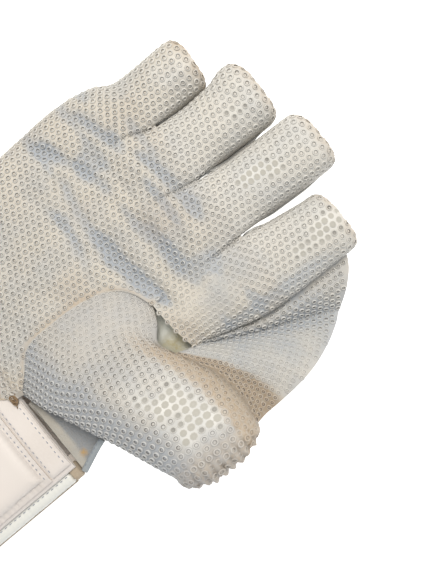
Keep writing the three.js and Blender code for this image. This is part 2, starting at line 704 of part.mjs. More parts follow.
// A closed bar of a superellipse section along a line of stations.
function bar(stations, halfWidth, halfHeight) {
  const points = [];
  for (const s of stations)
    for (let i = 0; i < barSides; i += 1) {
      const angle = (i / barSides) * 2 * Math.PI;
      const up = Math.sign(Math.sin(angle)) * squareSin(angle, barPower);
      points.push(point(s.x + halfWidth * squareCos(angle, barPower), s.y, s.z + halfHeight * up));
    }
  const index = [];
  const rows = stations.length;
  for (let r = 0; r + 1 < rows; r += 1)
    for (let i = 0; i < barSides; i += 1) {
      const [a, b] = [r * barSides + i, r * barSides + ((i + 1) % barSides)];
      index.push(a, b, b + barSides, a, b + barSides, a + barSides);
    }
  const first = points.push(stations[0].clone()) - 1;
  const last = points.push(stations[rows - 1].clone()) - 1;
  for (let i = 0; i < barSides; i += 1) {
    const next = (i + 1) % barSides;
    index.push(first, next, i);
    index.push(last, (rows - 1) * barSides + i, (rows - 1) * barSides + next);
  }
  if (stations[rows - 1].y > stations[0].y) index.reverse();
  return geometryOf(points, index);
}
function sideBar(side, near, far, count) {
  const inward = bindingWidth * 0.3;
  const stations = steps(count).map((r) => {
    const y = mix(near, far, r / count);
    return point(side * (cuffHalf(y) + bindingWidth / 2 - inward), y, cuffSeam);
  });
  return bar(stations, bindingWidth / 2, bindingHeight / 2 - clearance);
}

// The strip over the gusset's free edge, on the back's edge beside the cuff.
function gussetStrip() {
  const z = wristSeam + clearance + stripHeight / 2;
  const stations = steps(stripSteps).map((r) => {
    const y = clearance + stripLength * (1 - r / stripSteps);
    return point(backEdge(y) - stripWidth / 2 + 2 * clearance, y, z);
  });
  return bar(stations, stripWidth / 2 - clearance, stripHeight / 2);
}

// The hem round the cuff's open end: a loop of a half-round section.
function cuffHem() {
  const y0 = -cuffLength - clearance;
  const half = cuffHalf(-cuffLength) + bindingWidth * 0.5;
  const top = cuffTop(-cuffLength);
  const points = [];
  for (let i = 0; i < hemSteps; i += 1) {
    const angle = (i / hemSteps) * 2 * Math.PI;
    const up = Math.sign(Math.sin(angle)) * squareSin(angle, cuffPower);
    for (let j = 0; j < hemProfile; j += 1) {
      const turn = (j / (hemProfile - 1)) * Math.PI;
      const thick = (hemWall / 2) * (1 + Math.cos(turn));
      const y = y0 - hemLength * Math.sin(turn);
      const x = (half - thick) * squareCos(angle, cuffPower);
      points.push(point(x, y, top / 2 + (top / 2 - thick) * up));
    }
  }
  const index = [];
  for (let i = 0; i < hemSteps; i += 1)
    for (let j = 0; j < hemProfile; j += 1) {
      const a = i * hemProfile + j;
      const b = i * hemProfile + ((j + 1) % hemProfile);
      const c = ((i + 1) % hemSteps) * hemProfile + ((j + 1) % hemProfile);
      const d = ((i + 1) % hemSteps) * hemProfile + j;
      index.push(a, b, c, a, c, d);
    }
  return geometryOf(points, index);
}

// Finishes
const finish = (color, roughness) =>
  new THREE.MeshStandardMaterial({ color, roughness, metalness: 0 });
const rubber = finish(0xd8d0c2, 0.75);
const leather = finish(0xe3e0d6, 0.6);
const gussetLeather = finish(0xcfcbbf, 0.7);
const cuffLeather = finish(0xefe6dc, 0.5);
const piping = finish(0xeceee6, 0.55);
const beige = finish(0xd9ccb4, 0.7);
const blueGrey = finish(0xa9b3b6, 0.7);

const glove = new THREE.Group();
glove.position.y = -restPlace;
function add(name, geometry, material) {
  const mesh = new THREE.Mesh(geometry, material);
  mesh.name = name;
  glove.add(mesh);
}
const bandNear = -2 * clearance;
const bandFar = bandNear - bandWidth;
const padNear = bandFar - padMargin;
const padFar = -cuffLength + padMargin;
const tabFar = -clearance - tabLength;
add("palm_rubber", palmRubber(), rubber);
add("thumb_rubber", thumbRubber(), rubber);
add("web_rubber", webRubber(), rubber);
add("back_leather", backLeather(), leather);
add("thumb_back_leather", thumbBack(), leather);
add("crotch_leather", crotchLeather(), gussetLeather);
add("wrist_gusset", wristGusset(), gussetLeather);
add("cuff_palm_panel", cuffPanel(true), cuffLeather);
add("cuff_back_panel", cuffPanel(false), cuffLeather);
add("cuff_pad", cuffOverlay(padWall, padInset, padFar, padNear, 5), cuffLeather);
add("cuff_band", cuffOverlay(bandWall, bandInset, bandFar, bandNear, 3), cuffLeather);
add("cuff_binding_thumb_side", sideBar(1, tabFar - clearance, -cuffLength, 4), piping);
add("cuff_binding_little_side", sideBar(-1, -clearance, -cuffLength, 4), piping);
add("corner_tab", sideBar(1, -clearance, tabFar, 1), beige);
add("gusset_strip", gussetStrip(), blueGrey);
add("cuff_hem", cuffHem(), piping);

export default glove;
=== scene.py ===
import math
import bpy
import numpy as np
from mathutils import Matrix


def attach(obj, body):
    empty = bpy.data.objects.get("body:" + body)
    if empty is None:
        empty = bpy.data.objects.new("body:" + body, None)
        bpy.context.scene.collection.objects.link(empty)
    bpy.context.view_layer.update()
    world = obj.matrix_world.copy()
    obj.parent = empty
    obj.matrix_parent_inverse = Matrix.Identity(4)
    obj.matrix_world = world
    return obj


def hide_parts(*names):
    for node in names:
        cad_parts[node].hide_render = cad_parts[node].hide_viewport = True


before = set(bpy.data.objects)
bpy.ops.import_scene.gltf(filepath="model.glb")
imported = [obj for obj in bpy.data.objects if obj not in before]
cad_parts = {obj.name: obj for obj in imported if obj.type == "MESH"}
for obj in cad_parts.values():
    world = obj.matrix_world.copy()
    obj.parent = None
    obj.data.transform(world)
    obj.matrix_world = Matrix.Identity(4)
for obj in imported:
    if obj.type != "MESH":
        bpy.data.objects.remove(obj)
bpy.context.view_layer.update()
print("frame loaded")

# A right-hand wicketkeeping glove on its back, palm up. Shapes are worked out in millimetres with y
# measured from the cuff line, and put into each mesh in metres at the frame's own place.
mm = 0.001
upwards = np.array([0, 0, 1.0])
hand = {
    "palmLength": 153, "palmDepth": 46, "wristWidth": 160, "palmSwell": 10, "notchLength": 90,
    "seamInset": 25, "webTuck": 11.5, "rimLift": 7, "rimReach": 25, "cuffLine": 60,
    "rubberWall": 2.4, "leatherWall": 2, "backPad": 6, "clearance": 0.3, "slitWidth": 1.6,
    "fingerDepth": 34, "sideDrop": 17, "sideReach": 40, "crotchDrop": 5, "wrapLength": 22,
    "fingerPitch": 14, "pitchBend": 12, "tipRound": 11,
    "valleyStart": 0.78, "ridgeStart": 0.91, "sideReturn": 0.9, "openEnd": 0.6, "openRun": 0.05,
    "stallPower": 2.6, "backPower": 3, "tipPower": 4,
}
stall = {  # little, ring, middle and index stall
    "length": 68 * np.array([0.58, 0.86, 1, 0.75]),
    "width": 40 * np.array([0.9, 0.95, 1, 1.15]),
    "tipWidth": 40 * np.array([0.86, 0.975, 0.95, 0.95]),
    "lean": 3 * np.array([0.3, 0.15, 0.87, 1]),
    "slant": np.array([0, 1, 1, 0.5]),
    "shoulder": 40 * np.array([0, 0.07, 0, 0]), "shoulderStart": 0.6, "shoulderRun": 0.25,
}
palmLength, notchLength, clearance = hand["palmLength"], hand["notchLength"], hand["clearance"]
rubberWall, leatherWall, slit = hand["rubberWall"], hand["leatherWall"], hand["slitWidth"]

# The palm's folds: ends as shares of the half hand width and of palmLength, height and breadth in
# millimetres, bow as a share of the run. The last rows are finer wrinkles.
folds = [
    (-0.96, 0.6, -0.34, 0.73, -3.6, 4.6, 0.05), (-0.68, 0.6, 0.46, 0.63, -3.3, 4.8, -0.05),
    (-0.98, 0.79, -0.6, 0.84, -2.2, 3.8, 0), (-0.52, 0.87, 0.15, 0.92, -4.2, 4.2, 0.04),
    (-0.35, 0.77, 0.4, 0.73, -2.0, 4.2, 0), (-0.8, 0.56, -0.2, 0.61, 1.8, 6, 0),
    (-0.8, 0.66, 0.2, 0.79, 2.4, 6, 0.04), (-0.6, 0.85, 0.55, 0.82, 2.7, 5.4, 0.06),
    (0.58, 0.84, 0.66, 0.62, 2.7, 7.8, 0), (-0.3, 0.67, 0.38, 0.68, 1.5, 4.8, 0),
    (0.88, 0.7, 0.91, 1.2, -2.4, 3.4, 0),
    (-0.75, 0.47, -0.1, 0.5, -0.9, 3.2, 0.05), (-0.3, 0.52, 0.15, 0.46, -0.8, 3, -0.05),
    (-0.9, 0.3, -0.3, 0.26, -0.7, 5, 0.04), (-0.55, 0.1, 0.05, 0.16, -0.7, 4, 0),
    (-0.66, 0.74, -0.2, 0.78, -1.1, 2.6, 0.04), (0.1, 0.8, 0.42, 0.88, -1.0, 2.6, 0.05),
]
tables = {
    "palmLevel": [(0, 0.88), (0.2, 0.95), (0.45, 0.98), (0.65, 0.92), (0.85, 0.97), (1, 1)],
    "seamInset": [(0, 0.2), (0.09, 0.52), (0.22, 0.95), (0.45, 1.03), (0.7, 0.97), (0.87, 0.76),
                  (0.96, 0.4), (1, 0)],
    "backInset": [(0, -0.6), (0.13, 0.12), (0.22, 0.27), (0.5, 0.6), (0.57, 0.85), (0.62, 0.98)],
    "backLevel": [(0, 0.68), (0.13, 0.64), (0.22, 0.2), (0.5, 0.2), (0.57, 0.4), (0.62, 0.72)],
}


def mix(a, b, share):
    return a + (b - a) * share


def clamp(value):
    return np.clip(value, 0.0, 1.0)


# Eases from 0 to 1: three squares less two cubes of the share.
def smooth(value):
    t = clamp(value)
    return t * t * (3 - 2 * t)


# The same, from a start over a run, which is negative where it falls.
def ease(value, start, run):
    return smooth((value - start) / run)


# A bell curve of a distance over its breadth: e to the power of less its square.
def bell(distance, breadth):
    return np.exp(-((distance / breadth) ** 2))


# The height that goes with a place across a superellipse: the power's root of one less its power.
def rise(across, power):
    return np.maximum(0, 1 - np.abs(across) ** power) ** (1 / power)


# A table's value at each place: a cubic through the rows whose slope at a row is that of the
# chord between its two neighbours.
def read(name, at):
    rows = np.array(tables[name] if isinstance(name, str) else name, float)
    places, values = rows[:, 0], rows[:, 1]
    before = np.maximum(np.arange(len(rows)) - 1, 0)
    behind = np.minimum(np.arange(len(rows)) + 1, len(rows) - 1)
    slopes = (values[behind] - values[before]) / (places[behind] - places[before])
    at = np.asarray(at, float)
    i = np.clip(np.searchsorted(places, at, side="left") - 1, 0, len(rows) - 2)
    span = places[i + 1] - places[i]
    t = clamp((at - places[i]) / span)
    start = (2 * t**3 - 3 * t**2 + 1) * values[i] + (t**3 - 2 * t**2 + t) * span * slopes[i]
    return start + (3 * t**2 - 2 * t**3) * values[i + 1] + (t**3 - t**2) * span * slopes[i + 1]


# Soft lumps: random heights on a cubic lattice, blended by eased shares between its eight corners.
def lumps(points, size, seed):
    side = 32
    heights = np.random.default_rng(seed).uniform(-1, 1, (side, side, side))
    cell = np.asarray(points, float) / size + 100.0
    low = np.floor(cell).astype(int)
    part = smooth(cell - low)
    total = np.zeros(cell.shape[:-1])
    for corner in range(8):
        step = np.array([corner & 1, corner >> 1 & 1, corner >> 2 & 1])
        weight = np.prod(np.where(step == 1, part, 1 - part), axis=-1)
        i, j, k = np.moveaxis((low + step) % side, -1, 0)
        total += weight * heights[i, j, k]
    return total


def stack(x, y, z):
    return np.stack(np.broadcast_arrays(x, y, z), axis=-1).astype(float)


def unit(vectors):
    return vectors / np.maximum(np.linalg.norm(vectors, axis=-1, keepdims=True), 1e-9)


# Lengths along a line of points from its first one, or the mean of several lines side by side.
def arcLength(path):
    steps = np.linalg.norm(np.diff(path, axis=0), axis=-1)
    return np.concatenate([[0], np.cumsum(steps.reshape(len(steps), -1).mean(axis=1))])


# Normals of a grid of points: the step across times the step along, each between two neighbours.
def gridNormals(grid):
    padded = np.pad(grid, ((1, 1), (1, 1), (0, 0)), mode="edge")
    across = padded[1:-1, 2:] - padded[1:-1, :-2]
    along = padded[2:, 1:-1] - padded[:-2, 1:-1]
    return unit(np.cross(across, along))


# Closes grids of outer and inner points into one mesh: like points are joined, cells that shrink
# to a line are dropped, and an edge that one cell has gets a rim wall from outer to inner.
def closeSheet(patches, facesDown=False):
    outer = np.concatenate([p["outer"].reshape(-1, 3) for p in patches])
    inner = np.concatenate([p["inner"].reshape(-1, 3) for p in patches])
    keys = np.round(np.hstack([outer, inner]) * 200).astype(np.int64)
    kept, first, ids = np.unique(keys, axis=0, return_index=True, return_inverse=True)
    ids = ids.reshape(-1)
    count, offset, cells = len(kept), 0, []
    for p in patches:
        rows, columns = p["outer"].shape[:2]
        g = ids[offset:offset + rows * columns].reshape(rows, columns)
        corners = [g[:-1, :-1], g[:-1, 1:], g[1:, 1:], g[1:, :-1]]
        cells.append(np.stack(corners, axis=-1).reshape(-1, 4))
        offset += rows * columns
    cells = np.concatenate(cells)
    whole = np.array([cells[:, i] != cells[:, j] for i in range(4) for j in range(i)]).all(axis=0)
    quads = cells[whole]
    thin = np.concatenate([cells[~whole][:, [0, 1, 2]], cells[~whole][:, [0, 2, 3]]])
    tris = thin[(thin != np.roll(thin, -1, axis=1)).all(axis=1)]
    heads = np.concatenate([quads.ravel(), tris.ravel()])
    tails = np.concatenate([np.roll(quads, -1, axis=1).ravel(), np.roll(tris, -1, axis=1).ravel()])
    single = ~np.isin(heads * count + tails, tails * count + heads)
    u, v = heads[single], tails[single]
    walls = np.stack([v, u, count + u, count + v], axis=1)
    quads = np.concatenate([quads, quads[:, ::-1] + count, walls])
    tris = np.concatenate([tris, tris[:, ::-1] + count])
    if facesDown:
        quads, tris = quads[:, ::-1], tris[:, ::-1]
    marks = {}
    for key in patches[0]:
        if key not in ("outer", "inner", "plain"):
            flat = np.concatenate([np.broadcast_to(p[key], p["outer"].shape[:2]).ravel()
                                   for p in patches])[first]
            marks[key] = np.tile(flat, 2)
    return np.concatenate([outer[first], inner[first]]), quads, tris, marks


# Puts points in millimetres and faces into a mesh object at the frame's place, with its finish and
# marks, and hides the nodes that it replaces.
def addPiece(name, mesh, finish, *nodes, sharp=50):
    points, quads, tris, marks = mesh
    material, slotName, markNames = finishes[finish]
    data = bpy.data.meshes.new(name)
    data.vertices.add(len(points))
    placed = (points - np.array([0, hand["cuffLine"], 0])) * mm
    data.vertices.foreach_set("co", placed.astype(np.float32).ravel())
    corners = np.concatenate([quads.ravel(), tris.ravel()]).astype(np.int32)
    data.loops.add(len(corners))
    data.loops.foreach_set("vertex_index", corners)
    starts = np.concatenate([np.arange(len(quads)) * 4, len(quads) * 4 + np.arange(len(tris)) * 3])
    data.polygons.add(len(starts))
    data.polygons.foreach_set("loop_start", starts.astype(np.int32))
    data.update(calc_edges=True)
    data.validate()
    data.polygons.foreach_set("use_smooth", np.ones(len(data.polygons), bool))
    data.set_sharp_from_angle(angle=math.radians(sharp))
    for key in markNames:
        layer = data.attributes.new(key, "FLOAT", "POINT")
        values = marks.get(key, np.zeros(len(points)))
        layer.data.foreach_set("value", np.asarray(values, np.float32))
    data.materials.append(material)
    piece = bpy.data.objects.new(name, data)
    bpy.context.scene.collection.objects.link(piece)
    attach(piece, "root")
    if nodes:
        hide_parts(*nodes)
    return piece


# Joins several meshes of the same marks into one, each one's faces counted on from the last.
def joinMeshes(meshes):
    counts = np.cumsum([0] + [len(m[0]) for m in meshes])
    quads = np.concatenate([m[1] + n for m, n in zip(meshes, counts)])
    tris = np.concatenate([m[2] + n for m, n in zip(meshes, counts)])
    marks = {key: np.concatenate([m[3][key] for m in meshes]) for key in meshes[0][3]}
    return np.concatenate([m[0] for m in meshes]), quads, tris, marks


# Faces between rings of equally many points, one quad to a side.
def ringFaces(rings, sides):
    ids = np.arange(rings * sides).reshape(rings, sides)
    turned = np.roll(ids, -1, axis=1)
    return np.stack([ids[:-1], ids[1:], turned[1:], turned[:-1]], axis=-1).reshape(-1, 4)


# A superellipse's two shares at each angle: the cosine and the sine to the power of two over it.
def ellipse(angle, power):
    cos, sin = np.cos(angle), np.sin(angle)
    return np.sign(cos) * np.abs(cos) ** (2 / power), np.sign(sin) * np.abs(sin) ** (2 / power)


# A closed tube along a path: at each point a ring of the given half width and half height, set
# across the path and along the surface's normal there, with a superellipse's section and flat ends.
def tube(path, normals, halfWidth, halfHeight, sides=10, power=2.0):
    path = np.asarray(path, float)
    ahead = unit(np.gradient(path, axis=0))
    side = unit(np.cross(ahead, normals))
    up = np.cross(side, ahead)
    cos, sin = ellipse(np.arange(sides) / sides * 2 * math.pi, power)
    wide = np.broadcast_to(halfWidth, len(path))[:, None, None]
    high = np.broadcast_to(halfHeight, len(path))[:, None, None]
    rings = path[:, None] + side[:, None] * cos[None, :, None] * wide
    rings = rings + up[:, None] * sin[None, :, None] * high
    count = len(path) * sides
    first, last = np.arange(sides), np.arange(count - sides, count)
    tris = np.concatenate([
        np.stack([np.full(sides, count), first, np.roll(first, -1)], axis=-1),
        np.stack([np.full(sides, count + 1), np.roll(last, -1), last], axis=-1),
    ])
    points = np.concatenate([rings.reshape(-1, 3), path[:1], path[-1:]])
    return points, ringFaces(len(path), sides), tris, {}


# Gives a leather mesh one shade and one stain all over.
def plainMarks(mesh, valley=0.1, stain=0.1):
    points, quads, tris, marks = mesh
    size = len(points)
    return points, quads, tris, {"valley": np.full(size, valley), "stain": np.full(size, stain)}


# A sheet's grid with its inner side a wall below it along its normals.
def sheetPatch(grid, wall, **marks):
    return {"outer": grid, "inner": grid - gridNormals(grid) * wall, **marks}


# The hand's outline
stallLeft = np.cumsum(stall["width"]) - stall["width"] - stall["width"].sum() / 2
knuckleHalf = stall["width"].sum() / 2
indexRoot = stallLeft[3]
rimLeft, rimRight = -knuckleHalf + slit / 2, knuckleHalf - slit / 2
seamSide = indexRoot - slit / 2
riseSlope = math.tan(math.radians(hand["fingerPitch"]))


def after(start, run, y):
    return smooth((y / palmLength - start) / run)


# Beyond the crotches the fingers rise on a hyperbola that ends at the pitch's slope.
def riseAt(y):
    past = np.maximum(0, y - palmLength)
    return riseSlope * (np.hypot(past, hand["pitchBend"]) - hand["pitchBend"])


# The little-finger edge: between two half widths, bowed out by half a wave of the squared share.
def littleEdge(y):
    share = clamp(y / palmLength)
    half = mix(hand["wristWidth"] / 2, knuckleHalf, share)
    return -half - hand["palmSwell"] * np.sin(math.pi * share**2)


def indexEdge(y):
    share = (y - notchLength) / (palmLength - notchLength)
    return rimRight - hand["webTuck"] * (1 - smooth(share)) ** 1.3


def thumbSeam(y):
    return seamSide - hand["seamInset"] * read("seamInset", y / notchLength)


def backEdge(y):
    low = rimRight - hand["webTuck"] * read("backInset", y / palmLength)
    return mix(low, indexEdge(y), after(hand["openEnd"], hand["openRun"], y))


def topAt(y):
    return hand["palmDepth"] * read("palmLevel", clamp(y / palmLength)) + riseAt(y)


def rootShare(y):
    return after(hand["valleyStart"], 1 - hand["valleyStart"], y)


def ridgeShare(y):
    return after(hand["ridgeStart"], 1 - hand["ridgeStart"], y)


def floorAt(y):
    return (hand["palmDepth"] - hand["fingerDepth"]) * rootShare(y) + riseAt(y)


# The folds' height: for each fold a bell curve of the distance from its bowed line, eased at ends.
def foldAt(x, y):
    total = np.zeros(np.broadcast(x, y).shape)
    for fx1, fy1, fx2, fy2, height, breadth, bow in folds:
        x1, y1, x2, y2 = fx1 * knuckleHalf, fy1 * palmLength, fx2 * knuckleHalf, fy2 * palmLength
        run = math.hypot(x2 - x1, y2 - y1)
        along = ((x - x1) * (x2 - x1) + (y - y1) * (y2 - y1)) / run / run
        bowed = bow * run * (1 - (2 * along - 1) ** 2)
        off = ((y - y1) * (x2 - x1) - (x - x1) * (y2 - y1)) / run - bowed
        ends = smooth((0.5 - np.abs(along - 0.5)) * 4 + 0.5)
        total = total + height * ends * bell(off, breadth)
    return total


def wrapShare(y):
    return smooth((y - palmLength) / hand["wrapLength"])


def crotchShare(y):
    return smooth((y - palmLength) / (3 * rubberWall))


# The hand's two outer sides: the little stall's left one and the index stall's right one.
def isRim(k, right):
    return ((k == 0) & ~right) | ((k == 3) & right)


# How far the rubber turns down at a side of a stall: more at the hand's two outer sides.
def dropAt(k, right, y):
    side = hand["sideDrop"]
    little = mix(hand["palmDepth"] / 2, side, smooth(y / palmLength))
    index = side * mix(0.4, 1, smooth((y - notchLength) / hand["sideReach"]))
    between = np.where(y <= palmLength, hand["crotchDrop"] * rootShare(y),
                       mix(hand["crotchDrop"], side, wrapShare(y)))
    between = np.where((k == 0) & ~right, little, between)
    return np.where((k == 3) & right, index, between)


# A stall's middle and half width at a place along it.
def stallAt(k, y):
    share = clamp((y - palmLength) / stall["length"][k])
    centre = stallLeft[k] + stall["width"][k] / 2 + stall["lean"][k] * share
    half = mix((stall["width"][k] - slit) / 2, stall["tipWidth"][k] / 2, smooth(share))
    swell = stall["shoulder"][k] * smooth((share - stall["shoulderStart"]) / stall["shoulderRun"])
    return centre - swell / 2, half + swell / 2


def leftRim(y):
    return mix(littleEdge(y), rimLeft, after(hand["sideReturn"], 1 - hand["sideReturn"], y))


def palmEdges(k, x, y):
    share = (x - indexRoot - slit / 2) / (rimRight - indexRoot - slit / 2)
    index = mix(indexRoot + slit / 2, indexEdge(y), share)
    right = np.where(y < notchLength, thumbSeam(y), seamSide)
    palm = mix(leftRim(y), right, (x - rimLeft) / (seamSide - rimLeft))
    return np.where(k == 3, index, palm)


def backEdges(k, x, y):
    return mix(leftRim(y), backEdge(y), (x - rimLeft) / (rimRight - rimLeft))


# Where a column lies across the hand: from the crotches on it is the stall's own, and nearer the
# wrist the columns close up between the two edges given.
def columnAt(k, across, y, edges, close):
    rootCentre, rootHalf = stallAt(k, palmLength)
    centre, half = stallAt(k, y)
    return np.where(y >= palmLength, centre + half * across * close,
                    edges(k, rootCentre + rootHalf * across, y))


def rimShift(x, y):
    share = clamp((x - indexRoot) / (rimRight - indexRoot))
    return hand["rimLift"] * share**2 * (1 - smooth((y - notchLength) / hand["rimReach"]))


gather = {"sway": 1.7, "swaySize": 6, "pleat": 0.55, "lump": 0.9, "lumpSize": 3.6, "push": 0.5}


# Gathers at a closed end: pleats across it and lumps, growing over its last stretch.
def gathers(x, y, z, share, pleats, seed):
    points = stack(x, y, z)
    pleat = np.sin(x * pleats + gather["sway"] * lumps(points, gather["swaySize"], seed))
    lump = gather["lump"] * lumps(points, gather["lumpSize"], seed + 1)
    return share * (gather["pleat"] * pleat + lump + gather["push"])


# The palm rubber's relief, wear, painted shade and painted light. A lump is its height, size and
# seed, and a span is where something starts and the run that it takes, negative where it falls.
palmSkin = {
    "lumps": [(0.55, 16, 3), (0.3, 7, 4)], "atRoot": 0.6,
    "ripple": 0.9, "rippleStretch": 2.6, "rippleLumps": (6.5, 78), "rippleFrom": (58, 30),
    "rippleTo": (6, -24), "rippleShade": 0.6, "rippleLow": (0.12, 0.4),
    "gatherFrom": (-5, 9), "gatherSide": 0.35, "gatherTurn": 9, "pleats": 1.9, "gatherSeed": 21,
    "gatherPush": 0.8, "gatherLift": 0.9,
    "worn": 0.8, "wornMiddle": 0.05, "wornAcross": (0.5, -0.3), "wornFrom": (6, 14),
    "wornLumps": (0.5, 9, 7), "wornLeast": 0.75,
    "paintedLight": 0.42, "paintedLightFrom": (-26, 44), "paintedLightAcross": (-72, 50),
    "tipStain": 0.2, "tipDirt": (9, -10), "dirt": 0.3, "dirtLumps": (30, 8),
    "seamStain": 0.5, "seamDirt": 5, "seamEnd": 2,
    "foldShade": 0.9, "foldDepth": 2.5, "sideShade": 0.25,
    "fingerShade": 0.12, "fingerAcross": (-30, 70), "fingerFrom": (95, 50),
    "smooth": 0.7, "smoothMiddle": (52, 118), "smoothSize": (20, 26),
    "smoothLumps": (0.3, 24, 9), "smoothRidge": 0.3,
}


def lumpsOf(row, points):
    height, size, seed = row
    return height * lumps(points, size, seed)


# Fine folds across the hand: lumps drawn out from side to side, between the heel and the fingers.
def rippleAt(x, y):
    within = ease(y, *palmSkin["rippleFrom"])
    start, run = palmSkin["rippleTo"]
    within = within * ease(y, palmLength + start, run)
    return within * lumps(stack(x / palmSkin["rippleStretch"], y, 0), *palmSkin["rippleLumps"])


# The palm rubber's marks: bands across a stall and spans along it for wear, a painted lighter zone
# over the fingers, dirt at the tips and beside the thumb's seam, painted shade in the folds, the
# ripples' hollows, on the stalls' sides and over the fingers, and a bell curve where the rings are
# rubbed flat.
def palmMarks(k, across, x, y, tip, high, keep):
    skin, flat = palmSkin, stack(x, y, 0)
    past = y - palmLength
    place = stall["length"][k] - past - tip * hand["tipRound"]
    worn = ease(np.abs(across + skin["wornMiddle"]), *skin["wornAcross"])
    worn = worn * ease(past, *skin["wornFrom"])
    worn = worn * (skin["wornLeast"] + lumpsOf(skin["wornLumps"], flat))
    # Painted light: the fingers are made lighter, laid on with wear.
    paintedLight = skin["paintedLight"] * ease(past, *skin["paintedLightFrom"]) * ease(x, *skin["paintedLightAcross"])
    stain = ease(place, *skin["tipDirt"]) * smooth(past) + skin["tipStain"] * tip
    stain = stain + skin["dirt"] * smooth(lumps(flat, *skin["dirtLumps"])) * (y < palmLength)
    beside = (k == 2) & (y < notchLength + skin["seamEnd"])
    seamGap = np.where(beside, thumbSeam(y) - x, 99)
    stain = stain + skin["seamStain"] * smooth(1 - seamGap / skin["seamDirt"])
    folded = foldAt(x, y)
    # Painted shade: darker in the folds, on the stalls' steep sides, over the fingers and in the
    # ripples.
    valley = skin["foldShade"] * smooth(-folded / skin["foldDepth"]) * keep
    valley = valley + skin["sideShade"] * (1 - high) * rootShare(y)
    fingers = ease(x, *skin["fingerAcross"]) * ease(y, *skin["fingerFrom"])
    valley = valley + skin["fingerShade"] * fingers
    valley = valley + skin["rippleShade"] * ease(-rippleAt(x, y), *skin["rippleLow"])
    (middleX, middleY), (sizeX, sizeY) = skin["smoothMiddle"], skin["smoothSize"]
    faint = skin["smooth"] * bell(x - middleX, sizeX) * bell(y - middleY, sizeY)
    faint = faint + lumpsOf(skin["smoothLumps"], flat)
    faint = faint + skin["smoothRidge"] * smooth(folded / skin["foldDepth"])
    return {"stain": clamp(stain), "valley": clamp(valley), "faint": clamp(faint),
            "worn": clamp(np.maximum(skin["worn"] * worn, paintedLight))}


# A pair of points of the palm rubber: across is -1 to 1 over a stall's half section, and close
# falls to 0 at the tip while tip goes to 1.
def rubberPair(k, across, y, close=1.0, tip=0.0):
    k, across, y, close, tip = np.broadcast_arrays(k, across, y, close, tip)
    skin = palmSkin
    high = rise(across, hand["stallPower"])
    right = across > 0
    rim = isRim(k, right)
    seamRim = rim | ((k == 2) & right & (y < notchLength + 6))
    drop = dropAt(k, right, y)
    turned = np.where(rim, 1, crotchShare(y))
    inset = rubberWall * across * np.where(rim, 1, rootShare(y))
    x = columnAt(k, across, y, palmEdges, close)
    top = topAt(y)
    seam = top - drop
    keep = np.where(seamRim, high, mix(1, high, rootShare(y))) * close
    flat = stack(x, y, 0)
    lively = sum(lumpsOf(row, flat) for row in skin["lumps"]) + skin["ripple"] * rippleAt(x, y)
    fold = foldAt(x, y) * keep * (1 - rootShare(y) * skin["atRoot"]) + lively * keep
    outerZ = top - drop * (1 - high) + fold
    innerZ = top - rubberWall - (drop - rubberWall * turned) * (1 - high) + fold
    slant = stall["slant"][k] * across * close * smooth((y - palmLength) / hand["wrapLength"])
    slant = slant + np.where((k == 3) & (y < palmLength), rimShift(x, y), 0)
    straight = palmLength + stall["length"][k] - hand["tipRound"]
    ends = ease(y - straight, *skin["gatherFrom"]) * mix(skin["gatherSide"], 1, tip)
    ends = ends * smooth(y - palmLength)
    turn = y + skin["gatherTurn"] * tip
    bunch = gathers(x, turn, outerZ, ends, skin["pleats"], skin["gatherSeed"])
    yOut = y + tip * hand["tipRound"] + slant + bunch * tip * skin["gatherPush"]
    outer = stack(x, yOut, mix(seam, outerZ + bunch * high * skin["gatherLift"], close))
    innerY = y + tip * (hand["tipRound"] - rubberWall) + slant
    inner = stack(x - inset * close, innerY, mix(seam, innerZ, close))
    plain = stack(x, yOut, mix(seam, top - drop * (1 - high), close))
    return {"outer": outer, "inner": inner, "plain": plain,
            **palmMarks(k, across, x, y, tip, high, keep)}


# Sampling across a stall: sines of even angles, so that points gather at the steep sides.
def sines(count):
    return np.sin(np.linspace(-1, 1, count) * math.pi / 2)


# A grid of pairs over several stalls' columns side by side.
def handGrid(pair, count, ys, columns):
    k = np.repeat(np.arange(count), columns)[None]
    across = np.tile(sines(columns), count)[None]
    return pair(k, across, np.asarray(ys, float)[:, None])


def tipSteps(count):
    return np.sin(np.linspace(0, 1, count + 1)[1:] * math.pi / 2)


# Rows along a piece and round its closed end: each row's place, how far the section has closed
# there on a superellipse, and its share of the way round the tip.
def endRows(places, count, power):
    tip = tipSteps(count)
    close = rise(tip, power)
    close[-1] = 0
    rows = len(places)
    return (np.concatenate([places, np.full(count, places[-1])])[:, None],
            np.concatenate([np.ones(rows), close])[:, None],
            np.concatenate([np.zeros(rows), tip])[:, None])


# The rows along a stall's straight part, closer together at its root.
def stallRows(k, rows):
    straight = stall["length"][k] - hand["tipRound"]
    return palmLength + straight * np.linspace(0, 1, rows) ** 1.1


# A grid of pairs along one stall and round its closed end.
def stallGrid(pair, k, rows, tipRows, columns):
    ends = endRows(stallRows(k, rows), tipRows, hand["tipPower"])
    return pair(np.full((1, columns), k), sines(columns)[None], *ends)


# Takes a value of a grid at row and column places given as decimals, blended between four points.
def sampleGrid(grid, row, column):
    r = np.clip(row.astype(int), 0, grid.shape[0] - 2)
    c = np.clip(column.astype(int), 0, grid.shape[1] - 2)
    extra = (...,) + (None,) * (grid.ndim - 2)
    fr, fc = (row - r)[extra], (column - c)[extra]
    near = mix(grid[r, c], grid[r, c + 1], fc)
    return mix(near, mix(grid[r + 1, c], grid[r + 1, c + 1], fc), fr)


